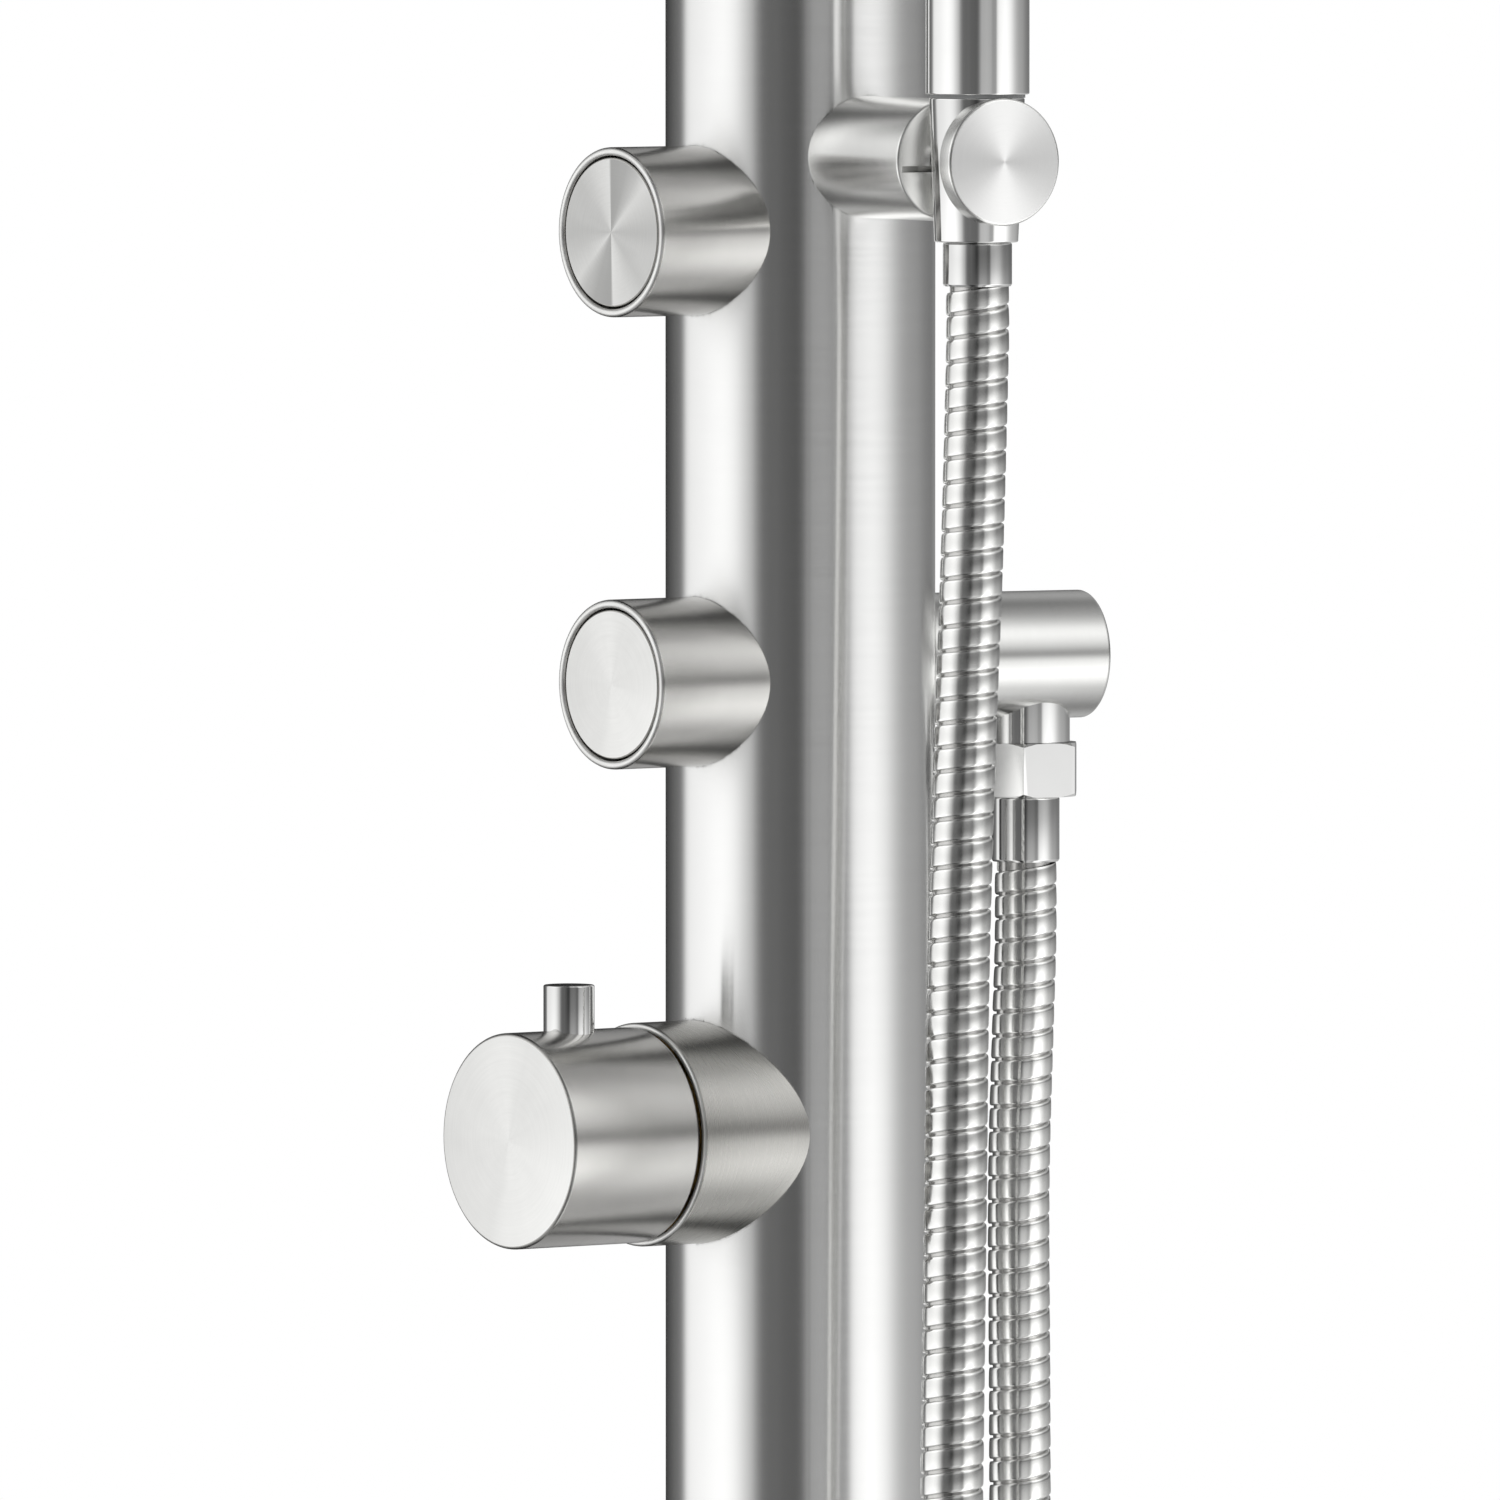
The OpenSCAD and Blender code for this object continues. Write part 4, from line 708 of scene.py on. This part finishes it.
def make_mixer():
    sleeve = lathe("mixer_skirt", saddled_foot(SLEEVE_R, SLEEVE_BORE) + [
        (SLEEVE_R, SLEEVE_END, 1.0), (SLEEVE_BORE, SLEEVE_END, 0.3)], at_mixer, closed=True, segments=160)
    dress(sleeve, None, "frame", "brushed_steel", "mixer_sleeve")
    # The sleeve's end ring takes the paler face steel as a painted highlight along its rim
    face_finish(sleeve, sleeve_steel, rubbed_steel_painted_light, towards_user, PAINTED_RIM_HIGHLIGHT)
    inside, behind, boss_end = KNOB_R - KNOB_WALL, KNOB_FACE - KNOB_FRONT, KNOB_FOOT + BOSS_INSET
    knob = lathe("mixer_knob_turned", [
        (0, KNOB_FACE, 0), (KNOB_R, KNOB_FACE, 0.9), (KNOB_R, KNOB_FOOT, 0.9), (inside, KNOB_FOOT, 0.3),
        (inside, behind, 0), (BOSS_R, behind, 0), (BOSS_R, boss_end, 0.3), (SPINDLE_BORE, boss_end, 0),
        (SPINDLE_BORE, SPINDLE_END, 0), (0, SPINDLE_END, 0)], at_mixer, segments=160)
    dress(knob, None, "mixer_handle", "brushed_steel", "mixer_knob")
    # The knob's face takes the pale steel with a faint painted fan of shade
    face_finish(knob, barrel_steel, rubbed_steel_painted_light, towards_user)
    pin = lathe("mixer_lever_pin", [(0, -PIN_CORE_SUNK, SADDLED), (PIN_R, -PIN_SUNK, SADDLED),
                                    (PIN_R, PIN_TOP, 0.35), (0, PIN_TOP, 0)],
                standing(0, PIN_AT, MIXER_Z), saddle=KNOB_R, segments=72)
    dress(pin, bright_chrome, "mixer_handle", "polished_chrome", "mixer_lever")


# Push buttons: a barrel on the column, the button in it and the spring behind that
BARREL_R, BARREL_BORE, BARREL_END = 18.8, 16.9, 54
BUTTON_R, BUTTON_FACE, BUTTON_BACK = 16.5, 53.6, 49
BUTTON_STEM_R, BUTTON_STEM_END = 4, 22
SPRING_R, SPRING_WIRE_R, SPRING_LENGTH, SPRING_TURNS = 6.85, 0.65, 8.6, 4.5
SPRING_SEAT, SPRING_LIFT = 39.0, 0.7
SPRING_STEPS, WIRE_SIDES = 36, 10


def spring_tree():
    """Geometry Nodes: a round wire wound to a coil spring."""
    tree = bpy.data.node_groups.new("coil_spring", "GeometryNodeTree")
    given = named_inputs(tree, Radius="Float", Height="Float", Turns="Float", Wire="Float",
                         Finish="Material")
    coil = add(tree, "GeometryNodeCurveSpiral", {
        "Resolution": SPRING_STEPS, "Rotations": given["Turns"], "Start Radius": given["Radius"],
        "End Radius": given["Radius"], "Height": given["Height"]})
    wire = add(tree, "GeometryNodeCurvePrimitiveCircle", {
        "Resolution": WIRE_SIDES, "Radius": given["Wire"]})
    swept = add(tree, "GeometryNodeCurveToMesh", {"Curve": coil, "Profile Curve": wire, "Fill Caps": True})
    smooth = add(tree, "GeometryNodeSetShadeSmooth", {"Geometry": swept})
    whole = add(tree, "GeometryNodeRealizeInstances", {"Geometry": smooth})
    finished = add(tree, "GeometryNodeSetMaterial", {"Geometry": whole, "Material": given["Finish"]})
    add(tree, "NodeGroupOutput", {"Geometry": finished})
    return tree


def make_button(name, height, coil_spring, face):
    """One push button, with the steel of its face, which carries a painted fan of shade."""
    axis_at = outwards(0, height)
    barrel = lathe(f"{name}_barrel", saddled_foot(BARREL_R, BARREL_BORE) + [
        (BARREL_R, BARREL_END, 0.95), (BARREL_BORE, BARREL_END, 0.94)], axis_at, closed=True, segments=160)
    dress(barrel, None, "frame", "brushed_steel", f"{name}_button_barrel")
    # The barrel's end ring takes the paler face steel as a painted highlight along its rim
    face_finish(barrel, barrel_steel, rubbed_steel_painted_light, towards_user, PAINTED_RIM_HIGHLIGHT)
    button = lathe(f"{name}_button_turned", [
        (0, BUTTON_FACE, 0), (BUTTON_R, BUTTON_FACE, 0.45), (BUTTON_R, BUTTON_BACK, 0.3),
        (BUTTON_STEM_R, BUTTON_BACK, 0), (BUTTON_STEM_R, BUTTON_STEM_END, 0.3), (0, BUTTON_STEM_END, 0)],
        axis_at, segments=160)
    dress(button, None, f"{name}_push", "brushed_steel", f"{name}_button")
    # The face takes its steel with its painted fan of shade
    face_finish(button, barrel_steel, face, towards_user)
    spring = run_nodes(f"{name}_spring_coil", bpy.data.meshes.new("empty"), coil_spring, {
        "Radius": SPRING_R * MM, "Height": SPRING_LENGTH * MM, "Turns": SPRING_TURNS,
        "Wire": SPRING_WIRE_R * MM, "Finish": bright_chrome})
    first_coil = (SPRING_SEAT + SPRING_LIFT) * MM
    spring.data.transform(axis_at @ Matrix.Translation((0, 0, first_coil)))
    dress(spring, None, "frame", "polished_chrome", f"{name}_button_spring")
    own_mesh(spring)


# Holder: the arm with its slit, the tapered socket that is open on its outer side, and the disc
HOLDER_ARM_R, HOLDER_ARM_END = 13.5, 66.5
BOLT_BORE, BOLT_ROOM_END = 5.05, 48
SLIT_X, SLIT_Y, SLIT_DEEP = (-12.3, 0), (-2.6, -1.2), (60, 70)
SOCKET_LOW_R, SOCKET_HIGH_R, SOCKET_WALL = 9.5, 10.65, 1.2
SOCKET_SLOT = 14.6
SPIGOT_R, SPIGOT_START, SPIGOT_END = 5.0, 49.2, 68.9
DISC_R, DISC_BACK, DISC_FACE = 14, 85.6, 90.2
SOCKET_ROOM_LOW_R, SOCKET_ROOM_HIGH_R = 9.4, 10.8


def make_holder():
    arm = lathe("holder_arm_turned", [
        (0, BOLT_ROOM_END, 0), (BOLT_BORE, BOLT_ROOM_END, 0), (BOLT_BORE, HOLDER_ARM_END, 0.3),
        (HOLDER_ARM_R, HOLDER_ARM_END, 0.6)] + saddled_foot(HOLDER_ARM_R, 0)[::-1], at_holder, segments=144)
    slit = prism("slit", box(SLIT_X, SLIT_Y), *SLIT_DEEP, at_holder)
    dress(carve(arm, slit), turned_steel, "frame", "brushed_steel", "holder_arm")
    socket = lathe("socket_sleeve", [
        (SOCKET_LOW_R - SOCKET_WALL, SOCKET_LOW, 0.3), (SOCKET_LOW_R, SOCKET_LOW, 0.4),
        (SOCKET_HIGH_R, SOCKET_HIGH, 0.4), (SOCKET_HIGH_R - SOCKET_WALL, SOCKET_HIGH, 0.3)],
        at_socket, closed=True, segments=128, seam=0)
    slot = prism("slot_box", box((0, 20), (-SOCKET_SLOT / 2, SOCKET_SLOT / 2)), SOCKET_LOW - OVERRUN,
                 SOCKET_HIGH + OVERRUN, standing(HOLDER_AZIMUTH, SOCKET_AT, turn=HOLDER_AZIMUTH))
    dress(carve(socket, slot), bright_chrome, "holder", "polished_chrome", "holder_socket")
    spigot = lathe("socket_spigot", [
        (0, SPIGOT_START, 0), (SPIGOT_R, SPIGOT_START, 0.4), (SPIGOT_R, SPIGOT_END, 0), (0, SPIGOT_END, 0)],
        at_holder, segments=64)
    dress(spigot, bright_chrome, "holder", "polished_chrome")
    disc = lathe("holder_disc_turned", [
        (0, DISC_BACK, 0), (DISC_R, DISC_BACK, 0.4), (DISC_R, DISC_FACE, 0.7), (0, DISC_FACE, 0)],
        at_holder, segments=144)
    room = lathe("socket_room", [
        (0, SOCKET_LOW - OVERRUN, 0), (SOCKET_ROOM_LOW_R, SOCKET_LOW - OVERRUN, 0),
        (SOCKET_ROOM_HIGH_R, SOCKET_HIGH + OVERRUN, 0), (0, SOCKET_HIGH + OVERRUN, 0)],
        at_socket, segments=64)
    disc = dress(carve(disc, room), None, "holder", "brushed_steel", "holder_disc")
    face_finish(disc, turned_steel, disc_steel, towards_side)


# Handset: a hollow stick with a spigot in the socket, a window for its spray plate, and a cap.
# The ring that it rests on is too thin for the solids, and is drawn as a thin grey ring whose grey is painted
# shade in the joint.
STEM_R, STEM_BORE, STEM_LOW, STEM_HIGH = 11.4, 8.8, SOCKET_HIGH + 0.7, 1486.2
STEM_SPIGOT_R, STEM_SPIGOT, STEM_FLOOR = 7.2, 15.4, 4.0
WINDOW_R, WINDOW_REACH, WINDOW_Z, WINDOW_CUT = 6.8, 20.5, 1452.2, (6.3, 25)
STEM_PLUG, STEM_PLUG_R, STEM_CAP, STEM_CAP_GAP = 1.4, 8.7, 3.0, 0.05
RING_R, RING_BORE, RING_HEIGHT = 10.5, 9.3, 0.75


def make_handset():
    floor_z, spigot_low = STEM_LOW + STEM_FLOOR, STEM_LOW - STEM_SPIGOT
    stem = lathe("handset_stem_turned", [
        (0, spigot_low, 0), (STEM_SPIGOT_R, spigot_low, 0.5), (STEM_SPIGOT_R, STEM_LOW, 0),
        (STEM_R, STEM_LOW, 0.35), (STEM_R, STEM_HIGH, 0), (STEM_BORE, STEM_HIGH, 0),
        (STEM_BORE, floor_z, 0), (0, floor_z, 0)], at_socket, segments=128, seam=HOLDER_AZIMUTH + 90)
    outline = []
    for end in (1, -1):
        outline += [(WINDOW_R * math.cos(a), end * WINDOW_REACH + WINDOW_R * math.sin(a))
                    for a in np.linspace(0, math.pi, 17) + (0 if end > 0 else math.pi)]
    window = prism("window", outline, SOCKET_AT + WINDOW_CUT[0], SOCKET_AT + WINDOW_CUT[1],
                   outwards(HOLDER_AZIMUTH, WINDOW_Z))
    dress(carve(stem, window), bright_chrome, "handset", "polished_chrome", "handset_stem")
    cap_low = STEM_HIGH + STEM_CAP_GAP
    cap = lathe("handset_cap_turned", [
        (0, STEM_HIGH - STEM_PLUG, 0), (STEM_PLUG_R, STEM_HIGH - STEM_PLUG, 0), (STEM_PLUG_R, cap_low, 0),
        (STEM_R, cap_low, 0.15), (STEM_R, STEM_HIGH + STEM_CAP, 1.0), (0, STEM_HIGH + STEM_CAP, 0)],
        at_socket, segments=128)
    dress(cap, bright_chrome, "handset", "polished_chrome", "handset_cap")
    # Thin grey ring in the joint: its grey is painted shade
    ring = lathe("socket_ring", [
        (RING_BORE, STEM_LOW - RING_HEIGHT, 0), (RING_R, STEM_LOW - RING_HEIGHT, 0), (RING_R, STEM_LOW, 0),
        (RING_BORE, STEM_LOW, 0)], at_socket, closed=True, segments=96)
    dress(ring, silicone, "handset", "seal_rubber")


# Hose outlet: a barrel on the column and the nipple under its end
OUTLET_R, OUTLET_BORE, OUTLET_END, OUTLET_WALL = 14.3, 12.3, 70.8, 2.0
NIPPLE_R, NIPPLE_BORE, NIPPLE_LOW, NIPPLE_HIGH = 9.9, 5.0, 1129, 1146


def make_outlet():
    barrel = lathe("outlet_barrel_turned", [
        (0, OUTLET_END - OUTLET_WALL, 0), (OUTLET_BORE, OUTLET_END - OUTLET_WALL, 0)]
        + saddled_foot(OUTLET_R, OUTLET_BORE) + [(OUTLET_R, OUTLET_END, 1.1), (0, OUTLET_END, 0)],
        at_outlet, segments=144)
    dress(barrel, outlet_steel, "frame", "brushed_steel", "outlet_barrel")
    nipple = lathe("outlet_nipple_turned", [
        (NIPPLE_BORE, NIPPLE_HIGH, 0), (NIPPLE_R, NIPPLE_HIGH, 0), (NIPPLE_R, NIPPLE_LOW, 0.3),
        (NIPPLE_BORE, NIPPLE_LOW, 0)], at_nipple, closed=True, segments=96)
    dress(nipple, bright_chrome, "frame", "polished_chrome", "outlet_nipple")


# Overhead shower: the arm, and under its end the ball with its stem, the nut and the spun shell
OVERHEAD_R, OVERHEAD_Z, OVERHEAD_END, OVERHEAD_WALL, OVERHEAD_END_WALL = 14, 2150, 330, 2.0, 4.0
BALL_R, BALL_AT, BALL_Z = 11, 312, 2116
BALL_STEM_R, BALL_SHOULDER_R, BALL_SHOULDER, BALL_STEM_TOP = 4.5, 9.0, 15, 26.9
BALL_NECK = 10.4
SEAT_R = 13.1                           # ball's seat in the nut and the shell
BALL_NUT_R, BALL_NUT_MOUTH_R, BALL_NUT_TOP, BALL_NUT_LOW = 17, 9.2, 10.3, -6
SHELL_R, SHELL_LIP, SHELL_HUB_LOW = 100, 2.45, -18
SHELL_TOP, SHELL_LOW, SHELL_FLOOR = -20, -26, -21.2


def make_overhead_shower():
    bore, bore_end = OVERHEAD_R - OVERHEAD_WALL, OVERHEAD_END - OVERHEAD_END_WALL
    arm = lathe("overhead_arm", [(0, bore_end, 0), (bore, bore_end, 0)] + saddled_foot(OVERHEAD_R, bore)
                + [(OVERHEAD_R, OVERHEAD_END, 1.0), (0, OVERHEAD_END, 0)],
                outwards(0, OVERHEAD_Z), segments=144)
    dress(arm, turned_steel, "frame", "brushed_steel", "head_arm")
    at_ball = standing(0, BALL_AT, BALL_Z)
    stem = lathe("ball_and_stem", [(0, -BALL_R, 0)] + arc(BALL_R, -80, 64, 24) + [
        (BALL_STEM_R, BALL_NECK, 0), (BALL_STEM_R, BALL_SHOULDER, 0.6),
        (BALL_SHOULDER_R, BALL_SHOULDER, 1.0), (BALL_SHOULDER_R, BALL_STEM_TOP, 0),
        (0, BALL_STEM_TOP, 0)], at_ball, segments=96)
    dress(stem, bright_chrome, "frame", "polished_chrome", "ball_stem")
    nut = lathe("ball_nut_turned", arc(SEAT_R, -27.2, 45.3) + [
        (BALL_NUT_MOUTH_R, BALL_NUT_TOP, 0.3), (BALL_NUT_R, BALL_NUT_TOP, 1.2),
        (BALL_NUT_R, BALL_NUT_LOW, 0.3)], at_ball, closed=True, segments=96)
    dress(nut, bright_chrome, "shower_head", "polished_chrome", "ball_nut")
    inside = SHELL_R - SHELL_LIP
    shell = lathe("head_shell_spun", arc(SEAT_R, -69.9, -27.5) + [
        (BALL_NUT_R, BALL_NUT_LOW - 0.05, 0.3), (BALL_NUT_R, SHELL_HUB_LOW, 2.2), (SHELL_R, SHELL_TOP, 1.6),
        (SHELL_R, SHELL_LOW, 0.4), (inside, SHELL_LOW, 0.1), (inside, SHELL_FLOOR, 0),
        (BALL_STEM_R, SHELL_FLOOR, 0)], at_ball, closed=True, segments=192)
    dress(shell, turned_steel, "shower_head", "brushed_steel", "head_shell")


# Finishes of the CAD nodes that show as they are
CAD_FINISHES = [
    (satin_steel, ["base_plate", "head_face", "spray_plate"]),
    (bright_chrome, ["base_screws", "holder_bolt"]),
    (silicone, ["head_nozzles", "spray_nozzles", "lower_washer", "upper_washer"]),
    (valve_nylon, ["ball_seat", "mixer_cartridge", "hand_valve_cartridge", "head_valve_cartridge"]),
    (machined_brass, ["hot_inlet", "cold_inlet", "mixer_body", "mixer_ring_nut", "mixer_spindle",
                      "hand_valve_body", "head_valve_body", "arm_elbow", "outlet_fitting"]),
    (drawn_copper, ["hot_pipe", "cold_pipe", "mixed_water_pipe", "link_pipe", "riser_pipe", "arm_pipe"])]


def finish_cad_nodes():
    for finish, names in CAD_FINISHES:
        for name in names:
            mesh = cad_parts[name].data
            mesh.materials.clear()
            mesh.materials.append(finish)


# Floor: a plain pale disc
FLOOR_R, FLOOR_THICK, FLOOR_DROP, FLOOR_EDGE = 1100, 30, 0.2, 4


def make_floor():
    floor = lathe("floor", [
        (0, -FLOOR_THICK, 0), (FLOOR_R, -FLOOR_THICK, 0), (FLOOR_R, -FLOOR_DROP, FLOOR_EDGE),
        (0, -FLOOR_DROP, 0)], Matrix.Identity(4), segments=128)
    floor.data.materials.clear()
    floor.data.materials.append(grained("pale_floor", "#fdfdfc", "#fafaf9", metallic=0.0, roughness=0.7,
                                        grain_mm=40, depth_mm=0.02, seed=8.0))
    floor.visible_glossy = False


# Studio set that metal reflects, in (degrees, level) by azimuth from the camera's side and by
# elevation, where 1 is the white of the background: tall soft boxes at both sides, a dark gap at
# the camera, dim walls behind. Its left and right half have their own levels by elevation.
SET_R, SET_Z = 9000, 1134
AROUND = [(-180, 0.03), (-160, 0.05), (-146, 0.09), (-138, 0.12), (-130, 0.15), (-124, 0.2), (-119, 0.42),
          (-115, 0.76), (-109, 0.85), (-93, 0.9), (-79, 0.97), (-70, 0.99), (-62, 0.93), (-56, 0.82),
          (-49, 0.62), (-43, 0.46), (-38, 0.25), (-33, 0.14), (-26, 0.12), (-14, 0.125), (-2, 0.165),
          (1, 0.2), (5, 0.4), (9, 0.6), (20, 0.65), (29, 0.6), (34, 0.46), (41, 0.48), (45, 1.2), (50, 1.5),
          (57, 1.62), (64, 1.72), (71, 1.64), (78, 1.48), (84, 1.25), (90, 1.0), (97, 0.8), (105, 0.68),
          (120, 0.62), (135, 0.48), (150, 0.42), (166, 0.55), (180, 0.5)]
LEFT_RISE = [(-90, 0.5), (-60, 0.35), (-45, 0.45), (-36, 0.7), (-28, 1.1), (-19, 1.4), (-10, 1.4),
             (-3, 1.12), (2, 1.02), (10, 1.2), (21, 1.4), (30, 1.2), (38, 0.75), (48, 0.4), (60, 0.3),
             (90, 0.8)]
RIGHT_RISE = [(-90, 1.0), (-62, 0.85), (-51, 0.6), (-43, 0.8), (-34, 1.05), (-24, 1.15), (-14, 0.95),
              (-8, 0.85), (-4, 0.65), (0, 0.35), (4, 0.25), (8, 0.38), (14, 0.6), (22, 0.78), (32, 0.95),
              (42, 0.9), (50, 0.65), (60, 0.55), (72, 0.6), (90, 0.9)]
HALVES_MEET = (-20, -4)
MOST = 4.0                              # level at the top of a curve


def levels(tree, angle, span, stops):
    """Level over an angle in radians that runs from -span to span degrees, straight between stops."""
    turned = add(tree, MATHS, {0: angle, 1: math.radians(2 * span)}, operation="DIVIDE")
    curve = add(tree, "ShaderNodeFloatCurve", {
        "Value": add(tree, MATHS, {0: turned, 1: 0.5}, operation="ADD")})
    points = curve.mapping.curves[0].points
    for i, (degrees, level) in enumerate(stops):
        spot = ((degrees + span) / (2 * span), level / MOST)
        if i in (0, len(stops) - 1):
            points[0 if i == 0 else len(points) - 1].location = spot
        else:
            points.new(*spot)
    for point in points:
        point.handle_type = "VECTOR"
    curve.mapping.update()
    return add(tree, MATHS, {0: curve, 1: MOST}, operation="MULTIPLY")


def make_studio_set():
    """Round wall of soft light that only glossy rays see."""
    made = bpy.data.materials.new("soft_boxes_and_flags")
    made.use_nodes = True
    tree = made.node_tree
    tree.nodes.clear()
    place = add(tree, "ShaderNodeTexCoord").outputs["Object"]
    centred = add(tree, "ShaderNodeMapping", {"Vector": place, "Location": (0, 0, -SET_Z * MM)})
    way = add(tree, VECTOR_MATHS, {0: centred}, operation="NORMALIZE")
    right, back, up = [
        add(tree, VECTOR_MATHS, {0: way, 1: axis}, operation="DOT_PRODUCT").outputs["Value"]
        for axis in (direction(CAMERA_AZIMUTH + 90), direction(CAMERA_AZIMUTH), (0, 0, 1))]
    azimuth = add(tree, MATHS, {0: right, 1: back}, operation="ARCTAN2")
    elevation = add(tree, MATHS, {0: up}, operation="ARCSINE")
    left_end, right_start = [math.radians(degrees) for degrees in HALVES_MEET]
    half = add(tree, "ShaderNodeMapRange", {
        "Value": azimuth, "From Min": left_end, "From Max": right_start})
    rise = add(tree, "ShaderNodeMix", {
        "Factor": half, "A": levels(tree, elevation, 90.0, LEFT_RISE),
        "B": levels(tree, elevation, 90.0, RIGHT_RISE)})
    strength = add(tree, MATHS, {0: levels(tree, azimuth, 180.0, AROUND), 1: rise}, operation="MULTIPLY")
    light = add(tree, "ShaderNodeEmission", {"Strength": strength})
    add(tree, "ShaderNodeOutputMaterial", {"Surface": light})
    made.cycles.emission_sampling = "NONE"
    wall = lathe("studio_set", arc(SET_R, -90, 90, 33), standing(0, 0, SET_Z), segments=96)
    wall.data.materials.clear()
    wall.data.materials.append(made)
    for seen_by in ("camera", "diffuse", "transmission", "volume_scatter", "shadow"):
        setattr(wall, "visible_" + seen_by, False)


def make_white_world():
    """Plain white all round, at the level at which colours render as they are written."""
    world = bpy.data.worlds.new("white")
    bpy.context.scene.world = world
    world.use_nodes = True
    back = world.node_tree.nodes["Background"]
    back.inputs["Color"].default_value = (1, 1, 1, 1)
    back.inputs["Strength"].default_value = 1.0


make_camera()
declare_hose(make_hose())
make_column()
make_mixer()
spring_shape = spring_tree()
make_button("hand", BUTTONS["hand"], spring_shape, rubbed_steel_painted_light)
make_button("head", BUTTONS["head"], spring_shape, faced_steel_painted_blades)
make_holder()
make_handset()
make_outlet()
make_overhead_shower()
finish_cad_nodes()
make_floor()
make_studio_set()
make_white_world()
bpy.context.scene.view_settings.view_transform = "Standard"
bpy.context.view_layer.update()
